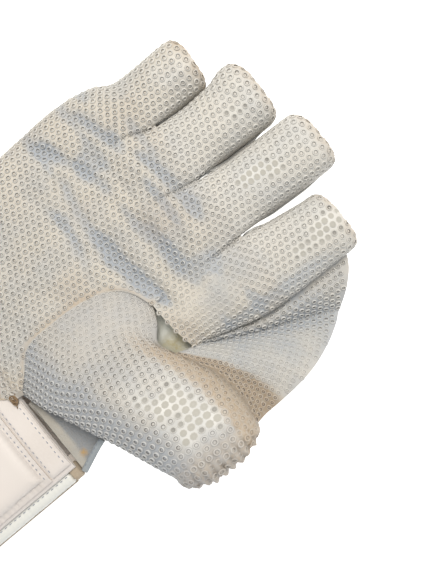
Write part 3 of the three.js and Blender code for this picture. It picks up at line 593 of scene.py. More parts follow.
# Lays a lattice on a grid: arcs are lengths along each row from its reference column, v is each
# row's own place, and a lattice point is found by its arc in the row at its v.
def onSurface(patch, v, reference, arcs, places, margin):
    grid = patch["outer"]
    steps = np.linalg.norm(np.diff(patch.get("plain", grid), axis=1), axis=-1)
    lengths = np.concatenate([np.zeros((len(grid), 1)), np.cumsum(steps, axis=1)], axis=1)
    if isinstance(reference, float):
        n = np.arange(len(grid))
        c = np.clip((grid[..., 0] < reference).sum(axis=1) - 1, 0, grid.shape[1] - 2)
        part = (reference - grid[n, c, 0]) / (grid[n, c + 1, 0] - grid[n, c, 0])
        lengths = lengths - mix(lengths[n, c], lengths[n, c + 1], part)[:, None]
    else:
        lengths = lengths - lengths[:, reference:reference + 1]
    row = np.interp(places, v, np.arange(len(v)))
    r = np.clip(row.astype(int), 0, len(v) - 2)
    here = mix(lengths[r], lengths[r + 1], (row - r)[:, None])
    inside = (arcs > here[:, 0] + margin[0]) & (arcs < here[:, -1] - margin[1])
    inside &= (places >= v[0]) & (places <= v[-1])
    row, arcs, here = row[inside], arcs[inside], here[inside]
    c = np.clip((here < arcs[:, None]).sum(axis=1) - 1, 0, here.shape[1] - 2)
    n = np.arange(len(c))
    column = c + (arcs - here[n, c]) / np.maximum(here[n, c + 1] - here[n, c], 1e-6)
    found = {"point": sampleGrid(grid, row, column),
             "normal": unit(sampleGrid(gridNormals(grid), row, column))}
    for key in ("stain", "valley", "worn", "faint"):
        found[key] = sampleGrid(patch[key], row, column)
    ahead = np.gradient(grid, axis=0)
    found["ahead"] = unit(sampleGrid(ahead, row, column))
    return found, inside


# A rubber dimple: a raised ring round a small pit. Each row of the profile is a share of the
# radius, a share of the height, how dark it is with dirt and painted shade, how grey wear turns it,
# and how light its crest is, a painted highlight. The mixes say what wear, rubbing, stain and
# painted shade leave of a value.
dimple = {
    "pitch": 3.95, "columnShare": 0.875, "fill": 0.465, "height": 1.0, "sides": 8,
    "profile": [(1.0, -0.3, 0.5, 0, 0), (0.88, 0.65, 0.05, 0.4, 0.5), (0.65, 1.0, 0, 1, 1),
                (0.5, 0.5, 0.6, 1, 0.2), (0.32, -0.2, 1, 1, 0)],
    "foot": -0.3, "pitFloor": -0.3, "discLevel": 0.45, "discFloor": 0.4, "discFrom": (0.36, 0.34),
    "sizes": (0.93, 1.05), "heights": (0.85, 1.1), "darks": (0.75, 1.1), "wornSize": 1.06,
    "wornHeight": 0.35, "faintHeight": 0.5, "stainHeight": 0.45, "steepHeight": 0.15,
    "fade": (0.2, 0.42), "discDark": 0.05, "faintDark": 0.35, "stainDark": 0.8,
    "centreWorn": -0.15, "centreFaint": 0.3, "shadeCrest": 0.7, "stainCrest": 0.2,
    "faintCrest": 0.4, "sharp": 75,
}


# One joined mesh of dimples: the rings of the profile round every lattice point, in its own plane,
# stretched by the lattice's two pitches, and lower where worn, faint or on a steep side.
def dimpleMesh(found, wide, deep, seed):
    count, sides, d = len(found["point"]), dimple["sides"], dimple
    chance = np.random.default_rng(seed)
    normal = found["normal"]
    side = unit(np.cross(found["ahead"], normal))
    ahead = np.cross(normal, side)
    worn, faint, stain, valley = [clamp(found[key]) for key in ("worn", "faint", "stain", "valley")]
    flat = ease(worn, *d["discFrom"])
    size = chance.uniform(*d["sizes"], count) * d["fill"] * mix(1, d["wornSize"], worn)
    height = d["height"] * chance.uniform(*d["heights"], count) * mix(1, d["wornHeight"], worn)
    height = height * mix(1, d["faintHeight"], faint) * mix(1, d["stainHeight"], stain)
    height = height * mix(d["steepHeight"], 1, ease(normal[:, 2], *d["fade"]))
    angle = np.arange(sides) / sides * 2 * math.pi
    points, marks = [], {"dirtAndShade": [], "disc": [], "worn": []}
    for radius, level, dark, grey, light in d["profile"]:
        radius = mix(radius, radius ** 0.5, flat * (0.3 < radius < 0.9))
        x = (wide * size * radius)[:, None] * np.cos(angle)
        y = (deep * size * radius)[:, None] * np.sin(angle)
        ring = found["point"][:, None] + side[:, None] * x[..., None]
        ring = ring + ahead[:, None] * y[..., None]
        level = mix(level, d["discLevel"], flat * (level != d["foot"]))
        points.append(ring + (normal * (height * level)[:, None])[:, None])
        # Dirt and painted shade: dark in the pit and round the ring's foot, in the ground between
        # rings.
        darkness = dark * mix(1, d["discDark"], flat) * mix(1, d["faintDark"], faint)
        darkness = darkness * chance.uniform(*d["darks"], count) * (1 + d["stainDark"] * stain)
        # The crest's light is a painted highlight, dimmer in painted shade and stain, laid on with
        # wear.
        crest = light * mix(1, d["shadeCrest"], valley) * mix(1, d["stainCrest"], stain)
        crest = np.maximum(worn, crest * mix(1, d["faintCrest"], faint))
        for key, values in (("dirtAndShade", darkness), ("disc", grey * flat), ("worn", crest)):
            marks[key].append(np.repeat(values[:, None], sides, axis=1))
    floor = height * mix(d["pitFloor"], d["discFloor"], flat)
    points.append((found["point"] + normal * floor[:, None])[:, None])
    centre = mix(1, d["centreWorn"], flat) * mix(1, d["centreFaint"], faint)
    for key, values in (("dirtAndShade", centre), ("disc", flat), ("worn", worn)):
        marks[key].append(values[:, None])
        marks[key] = clamp(np.concatenate(marks[key], axis=1).ravel())
    bands = len(d["profile"])
    each = bands * sides + 1
    for key, values in (("stain", stain), ("valley", valley)):
        marks[key] = np.repeat(values, each)
    quads = ringFaces(bands, sides)[:, [0, 3, 2, 1]]
    last = np.arange(each - 1 - sides, each - 1)
    tris = np.stack([last, np.roll(last, -1), np.full(sides, each - 1)], axis=-1)
    shift = (np.arange(count) * each)[:, None, None]
    print("dimples:", count)
    return (np.concatenate(points, axis=1).reshape(-1, 3), (quads[None] + shift).reshape(-1, 4),
            (tris[None] + shift).reshape(-1, 3), marks)


# Lattice places: rows by the first count and places along them by the second, in whole pitches,
# and each second row set off by half of one. A row is columnShare of a pitch from the next.
def lattice(rowsFrom, rowsTo, alongFrom, alongTo):
    i, j = np.meshgrid(np.arange(rowsFrom, rowsTo), np.arange(alongFrom, alongTo), indexing="ij")
    return i.ravel(), j.ravel() + 0.5 * (i.ravel() % 2)


# Adds a shader node with its settings, and links or sets each of its inputs.
def addNode(tree, kind, values=None, **settings):
    node = tree.nodes.new(kind)
    for key, value in settings.items():
        setattr(node, key, value)
    for key, value in (values or {}).items():
        if isinstance(value, bpy.types.NodeSocket):
            tree.links.new(value, node.inputs[key])
        else:
            node.inputs[key].default_value = value
    return node


def maths(tree, operation, first, second, clamped=False):
    node = addNode(tree, "ShaderNodeMath", {0: first, 1: second}, operation=operation,
                   use_clamp=clamped)
    return node.outputs[0]


def blend(tree, factor, first, second):
    node = addNode(tree, "ShaderNodeMix", {"Factor": factor, 6: first, 7: second},
                   data_type="RGBA")
    return node.outputs[2]


def markOf(tree, name):
    return addNode(tree, "ShaderNodeAttribute", attribute_name=name).outputs["Fac"]


# A shared node group: an input whose value is a tuple is a colour, any other is a number.
def newGroup(name, inputs, outputs):
    group = bpy.data.node_groups.new(name, "ShaderNodeTree")
    for socketName, value in inputs.items():
        kind = "NodeSocketColor" if isinstance(value, tuple) else "NodeSocketFloat"
        socket = group.interface.new_socket(socketName, in_out="INPUT", socket_type=kind)
        socket.default_value = value
    for socketName, kind in outputs.items():
        group.interface.new_socket(socketName, in_out="OUTPUT", socket_type=kind)
    return group, group.nodes.new("NodeGroupInput"), group.nodes.new("NodeGroupOutput")


# Grain: rounded cells of a Voronoi pattern with finer noise over them, as a bump height.
def grainGroup():
    group, given, result = newGroup(
        "leather grain", {"Cells": 900.0, "Fine": 3000.0, "Cell depth": 0.5},
        {"Height": "NodeSocketFloat"})
    place = addNode(group, "ShaderNodeTexCoord").outputs["Object"]
    cells = addNode(group, "ShaderNodeTexVoronoi",
                    {"Vector": place, "Scale": given.outputs["Cells"]}, feature="SMOOTH_F1")
    fine = addNode(group, "ShaderNodeTexNoise",
                   {"Vector": place, "Scale": given.outputs["Fine"], "Detail": 3.0})
    deep = maths(group, "MULTIPLY", cells.outputs["Distance"], given.outputs["Cell depth"])
    total = maths(group, "ADD", deep, fine.outputs["Fac"])
    group.links.new(total, result.inputs["Height"])
    return group


# Painted shade and stain: the base colour drifts towards a painted shade colour and towards a
# stain, each by its mask broken up with noise.
def shadeAndStainGroup():
    group, given, result = newGroup(
        "shadeAndStain",
        {"Base": (0.8, 0.8, 0.8, 1), "Shade": (0.5, 0.5, 0.5, 1), "Stain": (0.4, 0.3, 0.2, 1),
         "Shade mask": 0.0, "Stain mask": 0.0, "Drift": 0.3, "Scale": 40.0},
        {"Color": "NodeSocketColor", "Mask": "NodeSocketFloat"})
    place = addNode(group, "ShaderNodeTexCoord").outputs["Object"]
    broad = addNode(group, "ShaderNodeTexNoise",
                    {"Vector": place, "Scale": given.outputs["Scale"], "Detail": 4.0,
                     "Roughness": 0.6})
    small = addNode(group, "ShaderNodeTexNoise", {"Vector": place, "Scale": 620.0, "Detail": 3.0})
    patches = addNode(group, "ShaderNodeMapRange",
                      {"Value": broad.outputs["Fac"], "From Min": 0.42, "From Max": 0.68})
    speckle = addNode(group, "ShaderNodeMapRange",
                      {"Value": small.outputs["Fac"], "From Min": 0.25, "From Max": 0.7,
                       "To Min": 0.45, "To Max": 1.25})
    drift = maths(group, "MULTIPLY", patches.outputs[0], given.outputs["Drift"])
    shade = maths(group, "ADD", drift, given.outputs["Shade mask"], True)
    stain = maths(group, "MULTIPLY", speckle.outputs[0], given.outputs["Stain mask"], True)
    coolShade = blend(group, shade, given.outputs["Base"], given.outputs["Shade"])
    warm = blend(group, stain, coolShade, given.outputs["Stain"])
    group.links.new(warm, result.inputs["Color"])
    group.links.new(stain, result.inputs["Mask"])
    return group


grain, shadeAndStain = grainGroup(), shadeAndStainGroup()


# A new material with the tone of its three colours, and with grain as a bump.
def newMaterial(name, look):
    material = bpy.data.materials.new(name)
    material.use_nodes = True
    tree = material.node_tree
    shader = tree.nodes["Principled BSDF"]
    base, shade, stain = [(*colour, 1) for colour in look["colours"]]
    drift, scale = look["drift"]
    # The shade colour and its mask are painted shade: blue-grey darkening in folds, hollows,
    # channels and on sides turned from the light.
    tone = addNode(tree, "ShaderNodeGroup", {
        "Base": base, "Shade": shade, "Stain": stain, "Drift": drift, "Scale": scale,
        "Shade mask": markOf(tree, "valley"), "Stain mask": markOf(tree, "stain")}, node_tree=shadeAndStain)
    cells, depth, strength = look["grain"]
    fine = addNode(tree, "ShaderNodeGroup", {
        "Cells": cells, "Fine": cells * look.get("fineness", 3.1), "Cell depth": depth},
        node_tree=grain)
    bump = addNode(tree, "ShaderNodeBump", {
        "Height": fine.outputs["Height"], "Strength": strength,
        "Distance": look.get("bumpDistance", 0.0003)})
    tree.links.new(bump.outputs["Normal"], shader.inputs["Normal"])
    return material, tree, shader, tone


# The rubber: its tone, then lighter where worn and where light is painted, grey on a flat disc, and
# dark with dirt and painted shade, as in and round a pit.
def rubberMaterial(look):
    material, tree, shader, tone = newMaterial("dimpled rubber", look)
    colour = tone.outputs["Color"]
    for mark in ("worn", "disc", "dirtAndShade"):
        colour = blend(tree, markOf(tree, mark), colour, (*look[mark], 1))
    tree.links.new(colour, shader.inputs["Base Color"])
    shader.inputs["Roughness"].default_value = look["roughness"]
    return material


# A leather: its tone, and a soft gloss that is duller where stained.
def leatherMaterial(name, look):
    material, tree, shader, tone = newMaterial(name + " leather", look)
    tree.links.new(tone.outputs["Color"], shader.inputs["Base Color"])
    rough = addNode(tree, "ShaderNodeMapRange",
                    {"Value": tone.outputs["Mask"], "To Min": look["roughness"],
                     "To Max": look["roughness"] + 0.2})
    tree.links.new(rough.outputs[0], shader.inputs["Roughness"])
    return material


# Colours are base, painted shade and stain, drift is its strength and scale, and grain is its
# cells, their depth and the bump's strength. The rubber's light colour serves wear and painted
# highlights, and its dark colour dirt and painted shade.
rubberLook = {
    "colours": [(0.60, 0.557, 0.485), (0.41, 0.435, 0.465), (0.475, 0.37, 0.26)],
    "worn": (0.77, 0.75, 0.70), "disc": (0.50, 0.475, 0.415), "dirtAndShade": (0.085, 0.075, 0.065),
    "drift": (0.5, 38.0), "grain": (2600.0, 0.4, 0.35), "fineness": 2, "bumpDistance": 0.00025,
    "roughness": 0.62,
}
looks = {
    "back": {"colours": [(0.74, 0.72, 0.67), (0.58, 0.58, 0.56), (0.46, 0.38, 0.28)],
             "drift": (0.3, 30.0), "grain": (700.0, 0.9, 0.5), "roughness": 0.5,
             "slot": "white_leather"},
    "lining": {"colours": [(0.64, 0.65, 0.60), (0.34, 0.34, 0.31), (0.47, 0.42, 0.26)],
               "drift": (0.2, 60.0), "grain": (900.0, 1.0, 0.6), "roughness": 0.6,
               "slot": "gusset_leather"},
    "gusset": {"colours": [(0.55, 0.53, 0.47), (0.27, 0.30, 0.33), (0.50, 0.32, 0.13)],
               "drift": (0.25, 60.0), "grain": (900.0, 1.0, 0.7),
               "roughness": 0.62, "slot": "gusset_leather"},
    "cuff": {"colours": [(0.79, 0.72, 0.66), (0.70, 0.66, 0.63), (0.52, 0.44, 0.36)],
             "drift": (0.22, 18.0), "grain": (1500.0, 0.5, 0.22),
             "roughness": 0.42, "slot": "cuff_leather"},
    "piping": {"colours": [(0.83, 0.825, 0.775), (0.66, 0.69, 0.66), (0.45, 0.40, 0.32)],
               "drift": (0.25, 45.0), "grain": (1800.0, 0.4, 0.2),
               "roughness": 0.38, "slot": "white_piping"},
    "tab": {"colours": [(0.56, 0.47, 0.35), (0.42, 0.36, 0.28), (0.35, 0.26, 0.17)],
            "drift": (0.4, 160.0), "grain": (1500.0, 0.8, 0.5), "roughness": 0.7,
            "slot": "tab_leather"},
    "strip": {"colours": [(0.36, 0.40, 0.42), (0.24, 0.27, 0.30), (0.30, 0.25, 0.20)],
              "drift": (0.3, 150.0), "grain": (1500.0, 0.7, 0.5),
              "roughness": 0.7, "slot": "strip_leather"},
    "thread": {"colours": [(0.30, 0.325, 0.38), (0.20, 0.21, 0.25), (0.2, 0.15, 0.1)],
               "drift": (0.4, 400.0), "grain": (3000.0, 0.6, 0.4),
               "roughness": 0.75, "slot": "strip_leather"},
    "tanThread": {"colours": [(0.36, 0.24, 0.13), (0.16, 0.10, 0.06), (0.1, 0.07, 0.04)],
                  "drift": (0.6, 500.0), "grain": (3000.0, 0.6, 0.4),
                  "roughness": 0.75, "slot": "tab_leather"},
}
# A finish is a material, its slot and the marks that it reads.
leatherMarks = ("valley", "stain")
rubberMarks = (*leatherMarks, "worn", "disc", "dirtAndShade")
finishes = {"rubber": (rubberMaterial(rubberLook), "dimpled_rubber", rubberMarks)}
for lookName, look in looks.items():
    finishes[lookName] = (leatherMaterial(lookName, look), look["slot"], leatherMarks)
print("materials ready")

# The palm rubber: heel, knuckles and four stalls. Its dimples keep the margins given at the left
# and right of each patch, and spread on the stalls.
palmMesh = {
    "columns": 27, "heelRows": 58, "kneeRows": 44, "stallRows": 38, "tipRows": 14,
    "firstRow": 0.35, "heelFrom": 0.8, "heelMargins": (1.3, 0.4), "kneeMargins": (1.3, 3.4),
    "stallMargins": (1.2, 1.2), "spread": 1.22, "spreadRun": 30, "tipReach": 0.9,
}
heelYs = np.linspace(0, notchLength, palmMesh["heelRows"])
kneeYs = np.linspace(notchLength, palmLength, palmMesh["kneeRows"])
heel = handGrid(rubberPair, 3, heelYs, palmMesh["columns"])
knee = handGrid(rubberPair, 4, kneeYs, palmMesh["columns"])
stalls = [stallGrid(rubberPair, k, palmMesh["stallRows"], palmMesh["tipRows"], palmMesh["columns"])
          for k in range(4)]
addPiece("palm_skin", closeSheet([heel, knee, *stalls]), "rubber", "palm_rubber")
print("palm skin made")


# The palm's dimples: columns across it, measured along the surface from the ring and middle
# fingers' line, neighbours a pitch apart along the hand. On a stall the columns spread from its
# middle, as the rubber is stretched there.
def palmDimples():
    pitch = dimple["pitch"]
    columnPitch = pitch * dimple["columnShare"]
    columns = palmMesh["columns"]
    middle = columns * 2
    line = float(knee["outer"][-1, middle, 0])
    i, j = lattice(-40, 40, 0, 60)
    places = (j + palmMesh["firstRow"]) * pitch
    meshes = []
    for patch, ys, low, margins in ((heel, heelYs, palmMesh["heelFrom"], palmMesh["heelMargins"]),
                                    (knee, kneeYs, notchLength, palmMesh["kneeMargins"])):
        keep = (places >= low) & (places < ys[-1])
        found, _ = onSurface(patch, ys, line, i[keep] * columnPitch, places[keep], margins)
        meshes.append(dimpleMesh(found, columnPitch, pitch, 11))
    arcs = arcLength(knee["outer"][-1])
    for k, patch in enumerate(stalls):
        own = arcs[k * columns + columns // 2] - arcs[middle]
        ys = stallRows(k, palmMesh["stallRows"])
        ends = ys[-1] + hand["tipRound"] * tipSteps(palmMesh["tipRows"]) * palmMesh["tipReach"]
        spread = mix(1, palmMesh["spread"], ease(places, palmLength, palmMesh["spreadRun"]))
        offset = (i * columnPitch - own) * spread
        keep = (places >= palmLength) & (places < ends[-4])
        found, inside = onSurface(patch, np.concatenate([ys, ends]), columns // 2, offset[keep],
                                  places[keep], palmMesh["stallMargins"])
        meshes.append(dimpleMesh(found, (columnPitch * spread)[keep][inside], pitch, 12 + k))
    return joinMeshes(meshes)


addPiece("palm_dimples", palmDimples(), "rubber", sharp=dimple["sharp"])
print("palm dimples made")

# The glove's back: padded, with a sewn channel between the fingers and across the knuckles. Proud
# is where its leather shows beside a stall: the stall, the side, how far, and where it starts and
# ends past the crotches, each with its run.
backLook = {
    "columns": 25, "heelRows": 46, "kneeRows": 34, "stallRows": 30, "tipRows": 12,
    "channelDepth": 1.4, "channelWidth": 2.2, "knuckleLines": (0.62, 0.8, 0.97),
    "fingerLines": (0.38, 0.7), "alongFrom": (20, 30), "acrossFrom": (60, 25), "bow": 3,
    "bowSize": 26, "soft": 0.25, "softSize": 22, "softFrom": (100, 40),
    "proud": [(1, 1, 2.3, (4, 10), (46, -14)), (2, 1, 1.1, (12, 12), (56, -14)),
              (3, -1, -1.2, (-2, 6), (18, -10))],
    "dirt": 0.25, "dirtSize": 26, "tipDirt": 0.4, "sideFrom": (0.85, 0.12), "shade": 0.75,
}


# How deep a sewn channel draws the padding in: bell curves of the distance to its lines, which
# run along the fingers' borders, across the hand and across each finger.
def channels(k, across, x, y):
    width = backLook["channelWidth"]
    border = (1 - np.abs(across)) * stallAt(k, palmLength)[1]
    along = bell(border, width) * ~isRim(k, across > 0) * ease(y, *backLook["alongFrom"])
    places = [share * palmLength + backLook["bow"] * np.cos(x / backLook["bowSize"])
              for share in backLook["knuckleLines"]]
    places += [palmLength + share * stall["length"][k] for share in backLook["fingerLines"]]
    lines = np.max([bell(y - line, width) for line in places], axis=0)
    lines = lines * ease(y, *backLook["acrossFrom"])
    return backLook["channelDepth"] * np.maximum(along * (y < palmLength), lines)


# A pair of points of the back: it meets the rubber's edge a clearance below it, and its flat part
# lies on the floor or rises with the fingers.
def backPair(k, across, y, close=1.0, tip=0.0):
    k, across, y, close, tip = np.broadcast_arrays(k, across, y, close, tip)
    look = backLook
    high = rise(across, hand["backPower"])
    right = across > 0
    rim = isRim(k, right)
    low = floorAt(y)
    turned = np.where(rim, 1, crotchShare(y))
    seam = topAt(y) - dropAt(k, right, y)
    opened = mix(hand["palmDepth"] * read("backLevel", y / palmLength), seam,
                 after(hand["openEnd"], hand["openRun"], y))
    seam = np.where((k == 3) & right & (y < palmLength), opened, seam)
    edgeIn = seam - clearance - rubberWall * (1 - turned)
    edgeOut = edgeIn - leatherWall * (1 - turned)
    inHand = ~rim & (y < palmLength)
    edgeIn = np.where(inHand, mix(low + hand["backPad"], edgeIn, ridgeShare(y)), edgeIn)
    edgeOut = np.where(inHand, mix(low, edgeOut, ridgeShare(y)), edgeOut)
    past = y - palmLength
    proud = sum(far * (k == own) * ease(past, *start) * ease(past, *end) * clamp(side * across) ** 2
                for own, side, far, start, end in look["proud"])
    x = columnAt(k, across, y, backEdges, close) + proud
    inset = leatherWall * across * np.where(rim, 1, ridgeShare(y))
    flat = stack(x, y, 0)
    dent = channels(k, across, x, y) * high
    soft = look["soft"] * (1 + lumps(flat, look["softSize"], 31)) * high
    soft = soft * ease(y, *look["softFrom"])
    outerZ = low + (edgeOut - low) * (1 - high) + (dent + soft) * close
    innerZ = low + hand["backPad"] + (edgeIn - low - hand["backPad"]) * (1 - high)
    slant = stall["slant"][k] * across * close * smooth((y - palmLength) / hand["wrapLength"])
    join = seam - clearance
    outer = stack(x, y + tip * hand["tipRound"] + slant, mix(join, outerZ, close))
    inner = stack(x - inset * close, y + tip * (hand["tipRound"] - leatherWall) + slant,
                  mix(join, innerZ, close))
    stain = look["dirt"] * smooth(lumps(flat, look["dirtSize"], 32)) + look["tipDirt"] * smooth(tip)
    side = ease(np.abs(across), *look["sideFrom"]) * smooth(past)
    # Painted shade: darker in the sewn channels and on the stalls' sides, where the leather shows
    # in the slits.
    valley = look["shade"] * dent / look["channelDepth"] + side * ~rim
    return {"outer": outer, "inner": inner, "valley": clamp(valley), "stain": clamp(stain)}


backYs = np.concatenate([np.linspace(0, notchLength, backLook["heelRows"]),
                         np.linspace(notchLength, palmLength, backLook["kneeRows"])[1:]])
backPatches = [handGrid(backPair, 4, backYs, backLook["columns"])]
backPatches += [stallGrid(backPair, k, backLook["stallRows"], backLook["tipRows"],
                          backLook["columns"]) for k in range(4)]
addPiece("back_of_hand", closeSheet(backPatches, True), "back", "back_leather")
print("back made")

# The thumb. Its tables go by the share of its reach, as parts of palmLength, width, height and
# drop.
thumb = {
    "reach": 124, "width": 64, "height": 74, "drop": 28, "depth": 52, "tipRound": 15,
    "backLift": 7, "power": 2.3, "tipPower": 2.6, "crestRun": 0.2, "turnRun": 0.12,
    "rows": 78, "tipRows": 18, "columns": 57, "firstRow": 1.4, "pitches": (0.98, 1.36),
    "tipReach": 0.13, "margins": (2.0, 1.6), "backRows": 34, "backTipRows": 10,
    "backColumns": 41, "backLines": (0.35, 0.68), "backReach": 70, "backDent": 1.3,
    "backShade": 0.7, "backDirt": 0.2, "backTipDirt": 0.3,
    "centre": [(0, 0.294), (0.1, 0.292), (0.21, 0.291), (0.41, 0.353), (0.55, 0.397),
               (0.74, 0.436), (0.88, 0.454), (1, 0.454)],
    "half": [(0, 0.703), (0.1, 0.645), (0.21, 0.547), (0.41, 0.547), (0.55, 0.543),
             (0.74, 0.496), (0.88, 0.43), (1, 0.36)],
    "crest": [(0, 0.6), (0.1, 0.64), (0.21, 0.68), (0.41, 0.785), (0.55, 0.865), (0.74, 0.953),
              (0.88, 1), (1, 1)],
    "upper": [(0, 0.1), (0.1, 0.16), (0.21, 0.25), (0.41, 0.43), (0.55, 0.64), (0.74, 0.88),
              (0.88, 1), (1, 1)],
    "lower": [(0, 0.12), (0.1, 0.22), (0.21, 0.36), (0.41, 0.64), (0.55, 0.86), (0.74, 1),
              (0.88, 1), (1, 1)],
}
# Its relief, wear and painted shade, read as the palm's is, with spans as shares of its reach.
thumbSkin = {
    "lumps": [(0.7, 19, 41), (0.3, 8, 42)], "lumpRun": 0.1,
    "tipFrom": (0.9, 0.1), "gatherSide": 0.3, "gatherTurn": 12, "pleats": 1.15,
    "sway": (1.5, 7, 43), "pleat": 1.5, "gatherLumps": [(1.4, 5, 44), (0.9, 2.6, 45)],
    "gatherSink": 0.9, "gatherPush": 0.9, "gatherPull": 0.25, "gatherLift": 0.8,
    "worn": 0.8, "wornMiddle": 0.16, "wornAcross": (0.62, -0.35), "wornFrom": (0.32, 0.25),
    "wornTo": (0.97, -0.1), "wornLeast": 0.8, "wornLumps": (0.5, 9, 46),
    "tanAcross": (0.5, 0.2), "tanFrom": (0.15, 0.25), "stain": 0.12, "tanStain": 0.75,
    "tipStain": 0.3, "coolShade": 0.36, "coolSide": 0.7, "coolAcross": (0.3, 0.4), "tanCool": 0.8,
    "faint": 0.85, "faintFrom": (0.34, -0.2), "faintAcross": (0.5, -0.6), "tanFaint": 0.7,
    "tipFaint": 0.8, "tipFaintFrom": (0.84, 0.12), "dirtAndShade": 0.6,
}
thumbEnd = float(thumbSeam(notchLength / 2)) + thumb["reach"] - thumb["tipRound"]
tipShare = 1 - thumb["tipRound"] / thumb["reach"]


# A section of the thumb: where it starts on the palm's seam, its middle, half width, crest and
# drop, each read from its table.
def thumbAt(share, across):
    base = notchLength / 2 * (1 - across)
    slope = thumbSeam(base + 0.5) - thumbSeam(base - 0.5)
    start = thumbSeam(base) + clearance * np.hypot(1, slope)
    high = thumb["height"] * read(thumb["crest"], share)
    drop = np.where(across < 0, read(thumb["upper"], share), read(thumb["lower"], share))
    return {
        "x": mix(start, thumbEnd, share / tipShare), "start": start,
        "centre": palmLength * read(thumb["centre"], share),
        "half": thumb["width"] * read(thumb["half"], share),
        "crest": mix(topAt(base), high, smooth(share / thumb["crestRun"])),
        "drop": thumb["drop"] * drop,
    }


# The thumb rubber's marks: worn along the crest, tan on its upper side, dirt at the tip, and
# painted shade over it all, deepest on its lower side and least where it is tan.
def thumbMarks(share, across, tip, near, flat):
    skin = thumbSkin
    worn = ease(np.abs(across + skin["wornMiddle"]), *skin["wornAcross"])
    worn = skin["worn"] * worn * ease(share, *skin["wornFrom"])
    until, run = skin["wornTo"]
    worn = worn * ease(share, until * tipShare, run)
    worn = worn * (skin["wornLeast"] + lumpsOf(skin["wornLumps"], flat))
    tan = ease(-across, *skin["tanAcross"]) * ease(share, *skin["tanFrom"])
    stain = np.maximum(skin["tanStain"] * tan, skin["tipStain"] * (near + tip))
    # Painted shade: a blue-grey tint over the whole thumb, deepest on its lower side.
    coolShade = skin["coolShade"] + skin["coolSide"] * ease(across, *skin["coolAcross"])
    faint = skin["faint"] * ease(share, *skin["faintFrom"]) * ease(across, *skin["faintAcross"])
    faint = faint + skin["tanFaint"] * tan
    faint = faint + skin["tipFaint"] * ease(share / tipShare, *skin["tipFaintFrom"])
    return {"stain": clamp(skin["stain"] + stain), "worn": clamp(worn), "faint": clamp(faint),
            "valley": clamp(coolShade * (1 - skin["tanCool"] * tan))}


def thumbPair(share, across, close=1.0, tip=0.0):
    share, across, close, tip = np.broadcast_arrays(share, across, close, tip)
    skin, s = thumbSkin, thumbAt(share, across)
    high = rise(across, thumb["power"])
    y = s["centre"] - s["half"] * across * close
    seam = s["crest"] - s["drop"]
    turned = smooth(share / thumb["turnRun"])
    flat = stack(s["x"], y, 0)
    lively = sum(lumpsOf(row, flat) for row in skin["lumps"])
    lively = lively * high * smooth(share / skin["lumpRun"]) * close
    outerZ = s["crest"] - s["drop"] * (1 - high) + lively
    innerZ = s["crest"] - rubberWall - (s["drop"] - rubberWall * turned) * (1 - high) + lively
    near = ease(share / tipShare, *skin["tipFrom"])
    last = near * mix(skin["gatherSide"], 1, tip)
    lumpy = stack(s["x"] + skin["gatherTurn"] * tip, y, outerZ)
    pleat = np.sin(y * skin["pleats"] + lumpsOf(skin["sway"], lumpy))
    bunch = skin["pleat"] * pleat + sum(lumpsOf(row, lumpy) for row in skin["gatherLumps"])
    bunch = last * (bunch - skin["gatherSink"])
    outer = stack(s["x"] + tip * thumb["tipRound"] + bunch * tip * skin["gatherPush"],
                  y - bunch * skin["gatherPull"] * across,
                  mix(seam, outerZ + bunch * high * skin["gatherLift"], close))
    inner = stack(s["x"] + tip * (thumb["tipRound"] - rubberWall),
                  y + rubberWall * across * close * turned, mix(seam, innerZ, close))
    # Dirt and painted shade darken the pleats' hollows near the tip.
    return {"outer": outer, "inner": inner, "dirtAndShade": clamp(skin["dirtAndShade"] * last * clamp(-pleat) ** 2),
            **thumbMarks(share, across, tip, near, flat)}


def thumbGrid(pair, end, rows, tipRows, columns):
    places, close, tip = endRows(np.linspace(0, end, rows), tipRows, thumb["tipPower"])
    return pair(places, sines(columns)[None], close, tip)


thumbPatch = thumbGrid(thumbPair, tipShare, thumb["rows"], thumb["tipRows"], thumb["columns"])
addPiece("thumb_skin", closeSheet([thumbPatch]), "rubber", "thumb_rubber")


# The thumb's dimples: rows across it whose pitch grows towards the tip, neighbours a pitch apart
# across, measured from the crest.
def thumbDimples():
    reach = thumbEnd - thumb["width"] * 0.1
    ends = 1 + tipSteps(thumb["tipRows"]) * thumb["tipReach"]
    run = np.concatenate([np.linspace(0, 1, thumb["rows"]), ends])
    rowPlaces, pitches = [thumb["firstRow"]], []
    while rowPlaces[-1] < reach * 1.1:
        pitches.append(dimple["pitch"] * mix(*thumb["pitches"], min(1, rowPlaces[-1] / reach)))
        rowPlaces.append(rowPlaces[-1] + dimple["columnShare"] * pitches[-1])
    i, j = lattice(0, len(pitches), -16, 17)
    pitch, v = np.array(pitches)[i], np.array(rowPlaces)[i] / reach
    found, inside = onSurface(thumbPatch, run, thumb["columns"] // 2, j * pitch, v,
                              thumb["margins"])
    found["ahead"] = unit(np.cross(found["normal"], np.array([1.0, 0, 0])))
    return dimpleMesh(found, pitch[inside] * dimple["columnShare"], pitch[inside], 51)


addPiece("thumb_dimples", thumbDimples(), "rubber", sharp=dimple["sharp"])


bead = {"start": 0.6, "end": 0.8, "points": 160, "under": 0.5, "halfWidth": 0.7,
        "halfHeight": 0.45, "sides": 8, "stain": 0.15}


# The seam between palm and thumb: a thin closed bead in the gap, just under both skins' edges.
def seamBead():
    y = np.linspace(bead["start"], notchLength - bead["end"], bead["points"])
    slope = thumbSeam(y + 0.5) - thumbSeam(y - 0.5)
    x = thumbSeam(y) + clearance / 2 * np.hypot(1, slope)
    path = stack(x, y, topAt(y) - bead["under"])
    mesh = tube(path, upwards, bead["halfWidth"], bead["halfHeight"], bead["sides"])
    return plainMarks(mesh, 0, bead["stain"])


addPiece("thumb_seam", seamBead(), "rubber")
print("thumb made")


